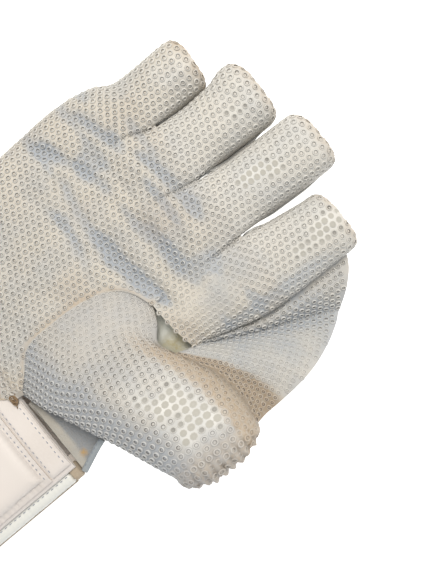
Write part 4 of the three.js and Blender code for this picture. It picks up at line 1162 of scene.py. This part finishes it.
# The leather behind the thumb starts at the back's low right edge and closes at the tip.
def thumbBackPair(share, across, close=1.0, tip=0.0):
    share, across, close, tip = np.broadcast_arrays(share, across, close, tip)
    root = thumbAt(np.full(share.shape, 0.5), across)
    begin = backEdge(root["centre"] - root["half"] * across) + 2 * clearance
    first = tipShare * (begin - root["start"]) / (thumbEnd - root["start"])
    s = thumbAt(mix(first, tipShare, share), across)
    high = rise(across, hand["backPower"])
    seam = s["crest"] - s["drop"] - clearance
    low = mix(thumb["backLift"], s["crest"] - thumb["depth"], share**1.5)
    y = s["centre"] - (s["half"] - 2 * clearance) * across * close
    band = sum(bell((share - line) * thumb["backReach"], backLook["channelWidth"])
               for line in thumb["backLines"]) * high
    dent = thumb["backDent"] * band * close
    outer = stack(s["x"] + tip * thumb["tipRound"], y,
                  mix(seam, low + (seam - low) * (1 - high) + dent, close))
    inner = stack(s["x"] + tip * (thumb["tipRound"] - leatherWall),
                  y + leatherWall * across * close,
                  mix(seam, low + leatherWall + (seam - low - leatherWall) * (1 - high), close))
    stain = thumb["backTipDirt"] * tip + thumb["backDirt"] * smooth(lumps(outer, 20, 47))
    # Painted shade in the sewn channels.
    return {"outer": outer, "inner": inner, "valley": clamp(thumb["backShade"] * band),
            "stain": clamp(stain)}


thumbBack = thumbGrid(thumbBackPair, 1, thumb["backRows"], thumb["backTipRows"],
                      thumb["backColumns"])
addPiece("back_of_thumb", closeSheet([thumbBack], True), "back", "thumb_back_leather")

# The web between index stall and thumb. A fold is its height, place, breadth and how soon it comes.
web = {
    "fold": 11, "bulge": 15, "skew": 0.82, "reach": 5, "start": 1, "root": 0.35, "rows": 50,
    "columns": 54, "pull": 2.2, "folds": [(-0.4, 0.03, 0.014, 6), (-2.2, 0.28, 0.035, 5)],
    "creases": [(0, 0.3), (0.13, 0.1), (0.27, -0.85), (0.45, -0.35), (0.65, 0.2), (0.84, -0.2),
                (0.93, -0.45), (1, 0)],
    "nearFrom": (0.8, 0.06), "shade": 0.42, "foldShade": 0.8, "shadeMiddle": 0.29,
    "shadeSize": 0.08, "shadeAlong": (1.2, 0.6), "nearLight": 0.85, "faint": 0.8,
    "faintFrom": (0.3, 0.2), "nearPit": 0.3, "turn": 14, "margins": (1.3, 1.3), "ends": (1.2, 1.3),
}


def webSides(along):
    y = mix(notchLength + web["start"], palmLength + stall["length"][3] - hand["tipRound"], along)
    index = rubberPair(3, 1.0, y)["outer"] + np.array([-clearance, 0, 0])
    share = tipShare * mix(web["root"], 1, along)
    side = thumbPair(share, -1.0)["outer"] + upwards * rubberWall
    side[:, 0] += web["reach"] * along**6
    side[:, 1] -= web["pull"] * along**4
    return index, side


# The web's sheet: straight from side to side, bowed out by half a wave at its free edge, with
# creases that deepen along it and two narrow folds at the index side.
def webGrid():
    along = np.linspace(0, 1, web["rows"])[:, None]
    across = np.linspace(0, 1, web["columns"])[None]
    index, side = webSides(along[:, 0])
    grid = mix(index[:, None], side[:, None], across[..., None])
    span = index[-1] - side[-1]
    out = unit(np.array([span[1], -span[0], 0.0]))
    bow = web["bulge"] * along**2 * np.sin(math.pi * across ** web["skew"])
    grid = grid + out * bow[..., None]
    grid[..., 2] += web["fold"] * along * read(web["creases"], across)
    for height, place, breadth, speed in web["folds"]:
        grid[..., 2] += height * bell(across - place, breadth) * smooth(along * speed)
    patch = sheetPatch(grid, rubberWall)
    for column in (0, -1):
        patch["inner"][:, column] = grid[:, column] - upwards * rubberWall
    # Near the thumb the web is tan with dark pits: dirt, and a painted shadow of the thumb.
    near = ease(across, *web["nearFrom"]) * np.ones(grid.shape[:2])
    # Painted shade: blue-grey along the crease and over the whole sheet, most at the index side and
    # less near the thumb.
    shade = web["foldShade"] * bell(across - web["shadeMiddle"], web["shadeSize"]) + web["shade"]
    shade = shade * mix(*web["shadeAlong"], along) * (1 - web["nearLight"] * near)
    faint = web["faint"] * ease(across, *web["faintFrom"]) * (1 - near)
    return {**patch, "stain": near, "valley": clamp(shade), "worn": 0 * near, "faint": faint,
            "dirtAndShade": web["nearPit"] * near}


webPatch = webGrid()
addPiece("web_skin", closeSheet([webPatch]), "rubber", "web_rubber")


# The web's dimples: a lattice turned a little to the index side, measured from its middle column.
def webDimples():
    pitch = dimple["pitch"]
    i, j = lattice(-30, 60, -30, 60)
    turn = math.radians(web["turn"])
    x, y = i * dimple["columnShare"] * pitch, j * pitch
    arcs = x * math.cos(turn) + y * math.sin(turn)
    places = y * math.cos(turn) - x * math.sin(turn)
    middle = web["columns"] // 2
    v = arcLength(webPatch["outer"][:, middle])
    found, inside = onSurface(webPatch, v, middle, arcs, places, web["margins"])
    start, end = web["ends"]
    keep = (places[inside] > start) & (places[inside] < v[-1] - end)
    found = {key: value[keep] for key, value in found.items()}
    return dimpleMesh(found, dimple["columnShare"] * pitch, pitch, 61)


addPiece("web_dimples", webDimples(), "rubber", sharp=dimple["sharp"])
print("web made")

crotch = {"rows": 22, "columns": 30, "dip": 3, "sag": 7, "ripple": 0.5, "dropFrom": (0.45, 0.5),
          "shade": 1.2, "shadeFrom": (0.3, -0.3), "stainFrom": (0.42, 0.25), "stainLeast": 0.7,
          "stainLumps": (0.5, 5, 71), "edge": 2, "lap": 0.6, "rim": (0.05, 0.35),
          "sagFrom": (0.1, 0.95), "waves": (0.9, 0.4)}


# The leather in the hole between palm, thumb and web: straight from the thumb's edge to under the
# palm's, sagging by half a wave each way.
def crotchGrid():
    across = np.linspace(0, 1, crotch["rows"])[:, None]
    along = np.linspace(0, 1, crotch["columns"])[None]
    x = mix(indexRoot + crotch["edge"], indexEdge(notchLength), along)
    y = notchLength + crotch["edge"] + crotch["lap"] * rimShift(x, notchLength)
    under = topAt(y) - rubberWall - dropAt(3, True, y) * ease(along, *crotch["dropFrom"])
    palmSide = stack(x, y, under - 3 * clearance - crotch["dip"] * (1 - along))
    rim = thumbPair(mix(*crotch["rim"], along), -1.0)["outer"]
    start = rim - np.array([0, 4 * clearance, 4 * clearance])
    grid = mix(start, palmSide, across[..., None])
    sag = np.sin(math.pi * across) * np.sin(math.pi * mix(*crotch["sagFrom"], along))
    wave = np.sin(grid[..., :2] @ np.array(crotch["waves"]))
    grid[..., 2] -= sag * (crotch["sag"] + crotch["ripple"] * wave)
    # Painted shade in the hole, darkest along the thumb's edge.
    valley = crotch["shade"] * ease(across, *crotch["shadeFrom"]) * np.ones(sag.shape)
    stain = crotch["stainLeast"] + lumpsOf(crotch["stainLumps"], grid)
    stain = stain * ease(along, *crotch["stainFrom"])
    return sheetPatch(grid, leatherWall, valley=clamp(valley), stain=clamp(stain))


addPiece("crotch_lining", closeSheet([crotchGrid()]), "lining", "crotch_leather")

# The gusset between the cuff and the underside of the thumb. The spot is a patch of dirt: its
# place, its reach and its run.
gusset = {"sag": 2, "tuck": 1.5, "reach": 1, "drop": 6, "stripWidth": 4.5, "stripHeight": 4,
          "stripLength": 19, "rows": 24, "columns": 40, "overlap": 1.4, "wave": 0.35,
          "spot": (76, 6), "spotFrom": (3.2, -3), "spotStain": 0.95, "stain": 0.12, "shade": 0.2,
          "shadeFrom": (0.4, 0.12), "shadeRun": 0.22}
wristSeam = hand["palmDepth"] * tables["backLevel"][0][1]


# Its sheet: straight from the cuff to under the thumb's edge, sagging by half a wave between them.
def gussetGrid():
    across = np.linspace(0, 1, gusset["rows"])[:, None]
    along = np.linspace(0, 1, gusset["columns"])[None]
    rim = thumbPair(mix(0.05, 0.44, along), 1.0)["outer"]
    y = mix(clearance, rim[..., 1] + gusset["tuck"], across)
    flare = along * (backEdge(y) - backEdge(rim[..., 1]))
    limit = backEdge(y) - gusset["stripWidth"] + gusset["overlap"]
    x = np.minimum(rim[..., 0] + gusset["reach"] + flare, limit)
    x = mix(x, limit, ease(along, 0.8, 0.2))
    high = topAt(0) - gusset["drop"]
    level = mix(high, wristSeam + leatherWall + clearance, along**1.8)
    wave = gusset["wave"] * lumps(stack(x, y, 0), 6, 72)
    grid = stack(x, y, level - gusset["sag"] * np.sin(math.pi * across) + wave)
    spotX, spotY = gusset["spot"]
    spot = ease(np.hypot(grid[..., 0] - spotX, grid[..., 1] - spotY), *gusset["spotFrom"])
    # Painted shade: a little all over, and a blue-grey shadow towards the thumb's edge above it.
    valley = gusset["shade"] + ease(across, mix(*gusset["shadeFrom"], along), gusset["shadeRun"])
    return sheetPatch(grid, leatherWall, valley=clamp(valley),
                      stain=clamp(gusset["spotStain"] * spot + gusset["stain"]))


addPiece("wrist_gusset_skin", closeSheet([gussetGrid()]), "gusset", "wrist_gusset")

# The cuff. An overlay on it is its wall, its reach from side to side, its counts of rows and
# columns, the breadth of its flange and of its shoulder, and the height of its puckers.
cuff = {
    "length": 90, "width": 158, "flare": 6, "depth": 45, "rise": 4, "wall": 5, "backWall": 7,
    "power": 3.4, "bindingWidth": 10, "bindingHeight": 10, "tabLength": 5.5, "bandWidth": 13,
    "margin": 3, "hemLength": 7, "hemWall": 9, "seamShare": 0.76, "columns": 81, "rows": 46,
    "backLines": (-22, -44, -66), "backDent": 1.4, "padLap": 2,
    "pad": {"wall": 4.7, "reach": 0.965, "rows": 64, "columns": 130, "flange": 3.6,
            "shoulder": 8, "pucker": 0.32, "seed": 91},
    "band": {"wall": 1.8, "reach": 0.955, "rows": 26, "columns": 130, "flange": 0.6,
             "shoulder": 2.5, "pucker": 0.1, "seed": 95},
    "lowerEdge": {"out": 5.8, "down": 3.2, "halfWidth": 2.1, "halfHeight": 1.1},
}
cuffSeam = cuff["depth"] * cuff["seamShare"]


def cuffHalf(y):
    return cuff["width"] / 2 - cuff["flare"] / 2 * y / cuff["length"]


def cuffTop(y):
    return cuff["depth"] - cuff["rise"] * y / cuff["length"]


# Half of the cuff's section at a place from side to side, a wall inside its outer face: a
# superellipse from the seam's height to the top, or to the floor for the back half.
def cuffAt(upper, y, across, wall=0):
    gap = cuff["bindingHeight"] / 2
    seam = cuffSeam + gap if upper else cuffSeam - gap
    far = cuffTop(y) - wall if upper else wall
    x = cuffHalf(y) * across - wall * across
    return stack(x, y, mix(seam, far, rise(across, cuff["power"])))


def cuffGrid(upper):
    y = np.linspace(-cuff["length"], -clearance, cuff["rows"])[:, None]
    across = sines(cuff["columns"])[None]
    outer = cuffAt(upper, y, across)
    inner = cuffAt(upper, y, across, cuff["wall"] if upper else cuff["backWall"])
    flat = stack(outer[..., 0], y, 0)
    dent = np.zeros(outer.shape[:2])
    if not upper:
        for line in cuff["backLines"]:
            dent = np.maximum(dent, bell(y - line, backLook["channelWidth"]))
        outer[..., 2] += cuff["backDent"] * dent * rise(across, cuff["power"])
    # Painted shade in the back's sewn channels.
    return {"outer": outer, "inner": inner, "valley": clamp(0.7 * dent),
            "stain": clamp(0.2 * smooth(lumps(flat, 24, 81)))}


addPiece("cuff_front", closeSheet([cuffGrid(True)]), "cuff", "cuff_palm_panel")
addPiece("cuff_back", closeSheet([cuffGrid(False)], True), "cuff", "cuff_back_panel")


# What the overlays share. A lump is its height and size.
overlayLook = {
    "power": 2.4, "thin": 0.8, "pleats": 1.85, "sway": (1.8, 5), "rough": (0.6, 2.2),
    "edgeRun": 1.2, "lively": (0.3, 15), "lift": 1.6, "under": 0.15, "foldShade": (0.35, 0.3),
    "dirt": (0.18, 20), "edgeDirt": 0.15,
}


# A piece that lies on the cuff's palm side: the panel's surface raised along its normals. Its
# height is thin over a flange at the edges, puckered by sines along them, and rises over a
# rounded shoulder, a quarter of a superellipse, to the full wall.
def overlay(row, yFar, yNear):
    look, seed = overlayLook, row["seed"]
    across = np.linspace(-row["reach"], row["reach"], row["columns"])[None]
    run = np.linspace(0, 1, row["rows"])[:, None]
    y = mix(yFar, yNear, run)
    base = cuffAt(True, y, across)
    normal = gridNormals(base)
    side = (row["reach"] - np.abs(across)) * cuffHalf(y)
    end = np.minimum(run, 1 - run) * (yNear - yFar) * np.ones(across.shape)
    inward = np.minimum(side, end)
    full = rise(1 - clamp((inward - row["flange"]) / row["shoulder"]), look["power"])
    along = np.where(side < end, base[..., 1], base[..., 0])
    sway = lumpsOf((*look["sway"], seed), base)
    ripple = np.sin(along * look["pleats"] + sway) + lumpsOf((*look["rough"], seed + 3), base)
    height = mix(look["thin"], row["wall"], full)
    height = height + row["pucker"] * ripple * (1 - full) * smooth(inward / look["edgeRun"])
    height = height + lumpsOf((*look["lively"], seed + 1), base) * full
    outer = base + normal * (look["lift"] * clearance + height)[..., None]
    # Painted shade on the thin flange and in its puckers' hollows.
    plain, folded = look["foldShade"]
    fold = (1 - full) * (plain + folded * clamp(-ripple))
    dirt, dirtSize = look["dirt"]
    stain = dirt * smooth(lumps(base, dirtSize, seed + 2)) + look["edgeDirt"] * (1 - full)
    return {"outer": outer, "inner": base + normal * look["under"], "valley": clamp(fold),
            "stain": clamp(stain)}


bandNear = -2 * clearance
bandFar = bandNear - cuff["bandWidth"]
padNear = bandFar - cuff["margin"] + cuff["padLap"]
padPatch = overlay(cuff["pad"], -cuff["length"] + cuff["margin"], padNear)
pad = addPiece("cuff_padding", closeSheet([padPatch]), "cuff", "cuff_pad")
bandPatch = overlay(cuff["band"], bandFar, bandNear)
addPiece("cuff_top_band", closeSheet([bandPatch]), "cuff", "cuff_band")
print("cuff panels made")

stitch = {"pitch": 3.4, "length": 1.8, "radius": 0.23, "sides": 6, "edgePitch": 2.6,
          "edgeLength": 1.6, "rings": [-1, -0.8, -0.35, 0, 0.35, 0.8, 1],
          "swell": [0.15, 0.75, 1, 1, 1, 0.75, 0.15], "bow": 0.55}


binding = {"points": 90, "out": 0.2, "nip": 0.035, "lumps": (0.02, 9, 101), "endRun": 1.2,
           "endWidth": 0.65, "sides": 20, "power": 2.7, "lowFrom": (-0.5, -3), "lowShade": 0.5,
           "lowBrown": 0.7, "dirt": 0.1}


# The binding down a side of the cuff: a rounded bar, nipped in a little at each stitch.
def sideBinding(side, near, far):
    y = np.linspace(near, far, binding["points"])
    path = stack(side * (cuffHalf(y) + cuff["bindingWidth"] * binding["out"]), y, cuffSeam)
    wave = np.cos(y * 2 * math.pi / stitch["pitch"])
    nip = 1 - binding["nip"] * (0.5 + 0.5 * wave) + lumpsOf(binding["lumps"], path)
    ends = np.sqrt(clamp(np.minimum(near - y, y - far) / binding["endRun"]))
    nip = nip * mix(binding["endWidth"], 1, ends)
    points, quads, tris, _ = tube(path, upwards, cuff["bindingWidth"] / 2 * nip,
                                  (cuff["bindingHeight"] / 2 - clearance) * nip,
                                  binding["sides"], binding["power"])
    # Its lower side is darker: painted shade, and browner by the stain colour.
    low = ease(points[:, 2] - cuffSeam, *binding["lowFrom"])
    return points, quads, tris, {"valley": binding["lowShade"] * low,
                                 "stain": binding["lowBrown"] * low + binding["dirt"]}


tabFar = -clearance - cuff["tabLength"]
for side, sideName, near in ((1, "thumb_side", tabFar - clearance),
                             (-1, "little_side", -clearance)):
    addPiece("binding_" + sideName, sideBinding(side, near, -cuff["length"]), "piping",
             "cuff_binding_" + sideName)

cornerTab = {"points": 14, "endRun": 0.8, "endWidth": 0.8, "halfWidth": 5.0, "halfHeight": 4.8,
             "sides": 18, "power": 3.2}
tabY = np.linspace(-clearance, tabFar, cornerTab["points"])
tabPath = stack(cuffHalf(tabY) + cuff["bindingWidth"] * binding["out"], tabY, cuffSeam)
tabEnds = np.minimum(-clearance - tabY, tabY - tabFar) / cornerTab["endRun"]
tabEnds = mix(cornerTab["endWidth"], 1, np.sqrt(clamp(tabEnds)))
tab = tube(tabPath, upwards, cornerTab["halfWidth"] * tabEnds, cornerTab["halfHeight"] * tabEnds,
           cornerTab["sides"], cornerTab["power"])
addPiece("corner_patch", plainMarks(tab, 0.2, 0.4), "tab", "corner_tab")

stripY = np.linspace(clearance + gusset["stripLength"], clearance, 40)
stripX = backEdge(stripY) - gusset["stripWidth"] / 2 + 2 * clearance
stripZ = wristSeam + clearance + gusset["stripHeight"] / 2
strip = tube(stack(stripX, stripY, stripZ), upwards, gusset["stripWidth"] / 2 - clearance,
             gusset["stripHeight"] / 2, 18, 3)
addPiece("gusset_edging", plainMarks(strip, 0.15, 0.1), "strip", "gusset_strip")


# The hem round the cuff's open end: a half-round section carried round a superellipse.
def hemMesh():
    turns, profile = 120, 14
    angle = (np.arange(turns) / turns * 2 * math.pi)[:, None]
    turn = np.linspace(0, math.pi, profile)[None]
    cos, sin = ellipse(angle, cuff["power"])
    half = cuffHalf(-cuff["length"]) + cuff["bindingWidth"] * 0.5
    top = cuffTop(-cuff["length"])
    thick = cuff["hemWall"] / 2 * (1 + np.cos(turn))
    y = -cuff["length"] - clearance - cuff["hemLength"] * np.sin(turn)
    points = stack((half - thick) * cos, y, top / 2 + (top / 2 - thick) * sin)
    points[..., 1] += 0.12 * np.sin(angle * 90) * np.sin(turn)
    ids = np.arange(turns * profile).reshape(turns, profile)
    ahead = np.roll(ids, -1, axis=0)
    quads = np.stack([ids, np.roll(ids, -1, axis=1), np.roll(ahead, -1, axis=1), ahead], axis=-1)
    flat = points.reshape(-1, 3)
    return flat, quads.reshape(-1, 4), np.zeros((0, 3), int), {
        "valley": np.full(len(flat), 0.1), "stain": 0.15 + 0.3 * (flat[:, 2] < 3)}


addPiece("cuff_hem_binding", hemMesh(), "piping", "cuff_hem")


# A row of stitches on a line of points: short closed capsules, evenly spaced by arc length, each
# ring of a capsule scaled by its swell, and bowed a little into the surface at its ends.
def stitchRow(path, normals, pitch=stitch["pitch"], length=stitch["length"]):
    radius, sides = stitch["radius"], stitch["sides"]
    path = np.asarray(path, float)
    normals = np.broadcast_to(normals, path.shape)
    arc = arcLength(path)
    centres = np.arange(pitch * 0.6, arc[-1] - pitch * 0.5, pitch)
    rings = np.array(stitch["rings"])
    places = centres[:, None] + rings[None] * length / 2
    at = np.stack([np.interp(places, arc, path[:, i]) for i in range(3)], axis=-1)
    up = unit(np.stack([np.interp(places, arc, normals[:, i]) for i in range(3)], axis=-1))
    ahead = unit(at[:, -1:] - at[:, :1])
    side = unit(np.cross(np.broadcast_to(ahead, up.shape), up))
    middle = at + up * (radius * (stitch["bow"] - rings**2))[None, :, None]
    angle = np.arange(sides) / sides * 2 * math.pi
    ring = (side[:, :, None] * np.cos(angle)[None, None, :, None]
            + up[:, :, None] * np.sin(angle)[None, None, :, None])
    swell = np.array(stitch["swell"]) * radius
    points = middle[:, :, None] + ring * swell[None, :, None, None]
    count, bands = points.shape[:2]
    each = bands * sides
    ends = np.stack([np.arange(sides)[::-1], np.arange(each - sides, each)])
    fans = np.stack([np.repeat(ends[:, :1], sides - 2, axis=1), ends[:, 1:-1], ends[:, 2:]],
                    axis=-1).reshape(-1, 3)
    shift = (np.arange(count) * each)[:, None, None]
    size = count * each
    return (points.reshape(-1, 3), (ringFaces(bands, sides)[None] + shift).reshape(-1, 4),
            (fans[None] + shift).reshape(-1, 3),
            {"valley": np.zeros(size), "stain": np.zeros(size)})


# Stitches along one of an overlay's rows, upright on its surface.
def rowStitches(patch, row):
    return stitchRow(patch["outer"][row], gridNormals(patch["outer"])[row])


cuffStitches = [rowStitches(bandPatch, -5), rowStitches(bandPatch, 3), rowStitches(padPatch, -3),
                rowStitches(padPatch, 3)]
bindY = np.linspace(tabFar - 1, -cuff["length"] + 1, 60)
edge = cuff["lowerEdge"]
for side, sideName in ((1, "thumb_side"), (-1, "little_side")):
    cuffStitches.append(stitchRow(stack(side * (cuffHalf(bindY) + 1.3), bindY,
                                        cuffSeam + cuff["bindingHeight"] / 2 - 0.35), upwards))
    under = stack(side * (cuffHalf(bindY) + edge["out"]), bindY, cuffSeam - edge["down"])
    under = tube(under, upwards, edge["halfWidth"], edge["halfHeight"], 12, 2.5)
    addPiece("binding_lower_edge_" + sideName, plainMarks(under, 0.3, 0.3), "tab")
addPiece("cuff_stitching", joinMeshes(cuffStitches), "thread")
edgeLine = stack(stripX - 1.2, stripY, stripZ + gusset["stripHeight"] / 2)
addPiece("gusset_stitching",
         stitchRow(edgeLine, upwards, stitch["edgePitch"], stitch["edgeLength"]), "thread")
print("cuff trimmed")


# The knot of thread at the lower end of the thumb's seam: a few turns of a thin tube round a
# short line, each turn tilted and of another size, and the thread's two tails.
def knotMesh():
    centre = np.array([float(thumbSeam(0.0)) + 0.6, -1.9, cuff["depth"] + 3.2])
    t = np.linspace(0, 5 * 2 * math.pi, 150)
    size = 1.5 + 0.5 * np.sin(t * 0.37)
    loop = stack(size * np.cos(t) * 1.5, size * np.sin(t + 0.4 * np.sin(t * 0.6)) * 0.9,
                 0.7 * np.sin(t * 1.21) + 0.5)
    longTail = stack(np.linspace(0, 4.5, 24), -np.linspace(0, 1.2, 24) ** 2,
                     np.linspace(0.6, 0.2, 24))
    shortTail = stack(-np.linspace(0, 3, 20), np.linspace(0, 2.4, 20), np.linspace(0.6, -0.2, 20))
    tilt, lean = np.array([0.2, 0.1, 1.0]), np.array([0, 0.1, 1.0])
    parts = [tube(centre + line, normal, radius, radius, 7) for line, normal, radius in (
        (loop, tilt, 0.36), (longTail, lean, 0.3), (shortTail, lean, 0.3))]
    return joinMeshes([plainMarks(part, 0.2, 0.2) for part in parts])


addPiece("seam_knot", knotMesh(), "tanThread")

# The rubber's lower edge, which lies over the cuff's band beside the knot: its lower line eases
# from the knot to its full reach, and it climbs from the palm on to the band.
flap = {"reach": 8.5, "run": 9, "left": -66, "rows": 18, "columns": 90, "height": 3.6, "wall": 1.5,
        "under": 2.2, "stain": 0.3, "edgeStain": 0.65, "edgeFrom": (0.3, -0.25), "faint": 0.1,
        "margins": (1.3, 3), "line": -6.0, "straightColumns": 60}


def flapGrid():
    x = np.linspace(flap["left"], float(thumbSeam(0.0)) + 0.8, flap["columns"])[None]
    share = np.linspace(0, 1, flap["rows"])[:, None]
    reach = flap["reach"] * smooth((x[:, -1:] + 1.5 - x) / flap["run"])
    reach = reach * (1 + 0.04 * np.sin(x * 0.4)) + 0.6
    y = mix(-reach, flap["under"], share)
    cuffLevel = cuffAt(True, y, x / cuffHalf(y))[..., 2] + flap["height"]
    z = mix(topAt(flap["under"]) + 0.3, cuffLevel, smooth((1 - share) * 2.4))
    z = z + 0.2 * lumps(stack(x, y, 0), 8, 77)
    none = np.zeros(z.shape)
    stain = clamp(flap["stain"] + flap["edgeStain"] * ease(share, *flap["edgeFrom"])) + none
    return sheetPatch(stack(x, y, z), flap["wall"], stain=stain, valley=none, worn=none,
                      faint=none + flap["faint"])


flapPatch = flapGrid()
addPiece("heel_flap", closeSheet([flapPatch]), "rubber")


def flapDimples():
    pitch = dimple["pitch"]
    columnPitch = pitch * dimple["columnShare"]
    i, j = lattice(-30, 30, 0, 4)
    v = arcLength(flapPatch["outer"][:, :flap["straightColumns"]])
    found, _ = onSurface(flapPatch, v, flap["line"], i * columnPitch, (j + 0.45) * pitch,
                         flap["margins"])
    return dimpleMesh(found, columnPitch, pitch, 71)


addPiece("flap_dimples", flapDimples(), "rubber", sharp=dimple["sharp"])


# Floor, light and camera
studio = {
    "floorSize": 6.0, "floorLevel": -0.0006, "floorGlow": 0.68, "keyPower": 10.7, "keySize": 0.6,
    "keyDistance": 1.1, "keyLean": 0.42, "keyColour": (1.0, 0.95, 0.88), "above": (0.02, 0.05),
    "target": 0.03, "world": (0.92, 0.96, 1.0, 1), "worldStrength": 0.57,
    "eye": (48.7, 123.8, 450), "right": (0.616, 0.788, 0), "up": (-0.788, 0.616, 0),
    "focalPixels": 729, "longSide": 577,
}


def addFloor():
    half = studio["floorSize"] / 2
    data = bpy.data.meshes.new("floor")
    low = studio["floorLevel"]
    corners = [(-half, -half, low), (half, -half, low), (half, half, low), (-half, half, low)]
    data.from_pydata(corners, [], [(0, 1, 2, 3)])
    floor = bpy.data.objects.new("floor", data)
    bpy.context.scene.collection.objects.link(floor)
    material = bpy.data.materials.new("floor")
    material.use_nodes = True
    shader = material.node_tree.nodes["Principled BSDF"]
    shader.inputs["Base Color"].default_value = (0.95, 0.95, 0.95, 1)
    shader.inputs["Roughness"].default_value = 0.9
    shader.inputs["Emission Color"].default_value = (1, 1, 1, 1)
    shader.inputs["Emission Strength"].default_value = studio["floorGlow"]
    data.materials.append(material)


# The key light: over the palm and leant towards the camera's upper side.
def addLight():
    data = bpy.data.lights.new("key", "AREA")
    data.shape = "DISK"
    data.size = studio["keySize"]
    data.energy = studio["keyPower"]
    data.color = studio["keyColour"]
    light = bpy.data.objects.new("key", data)
    lean = unit(np.array(studio["up"])) * studio["keyDistance"] * studio["keyLean"]
    place = np.array([*studio["above"], studio["keyDistance"]]) + lean
    back = unit(place - np.array([*studio["above"], studio["target"]]))
    side = unit(np.cross(np.array([0.1, 0.2, 1.0]), back))
    matrix = Matrix([[*row] for row in np.stack([side, np.cross(back, side), back], axis=1)])
    light.matrix_world = Matrix.Translation(place) @ matrix.to_4x4()
    bpy.context.scene.collection.objects.link(light)


def addCamera():
    data = bpy.data.cameras.new("camera")
    data.lens = studio["focalPixels"] / studio["longSide"] * data.sensor_width
    camera = bpy.data.objects.new("camera", data)
    axes = np.stack([unit(np.array(studio["right"])), unit(np.array(studio["up"])), upwards],
                    axis=1)
    eye = (np.array(studio["eye"]) - np.array([0, hand["cuffLine"], 0])) * mm
    turn = Matrix([[*row] for row in axes])
    camera.matrix_world = Matrix.Translation(eye) @ turn.to_4x4()
    data.clip_start = 0.01
    bpy.context.scene.collection.objects.link(camera)
    bpy.context.scene.camera = camera


addFloor()
addLight()
world = bpy.data.worlds.new("studio")
world.use_nodes = True
background = world.node_tree.nodes["Background"].inputs
background["Color"].default_value = studio["world"]
background["Strength"].default_value = studio["worldStrength"]
bpy.context.scene.world = world
bpy.context.scene.view_settings.view_transform = "Standard"
addCamera()
print("stage set")
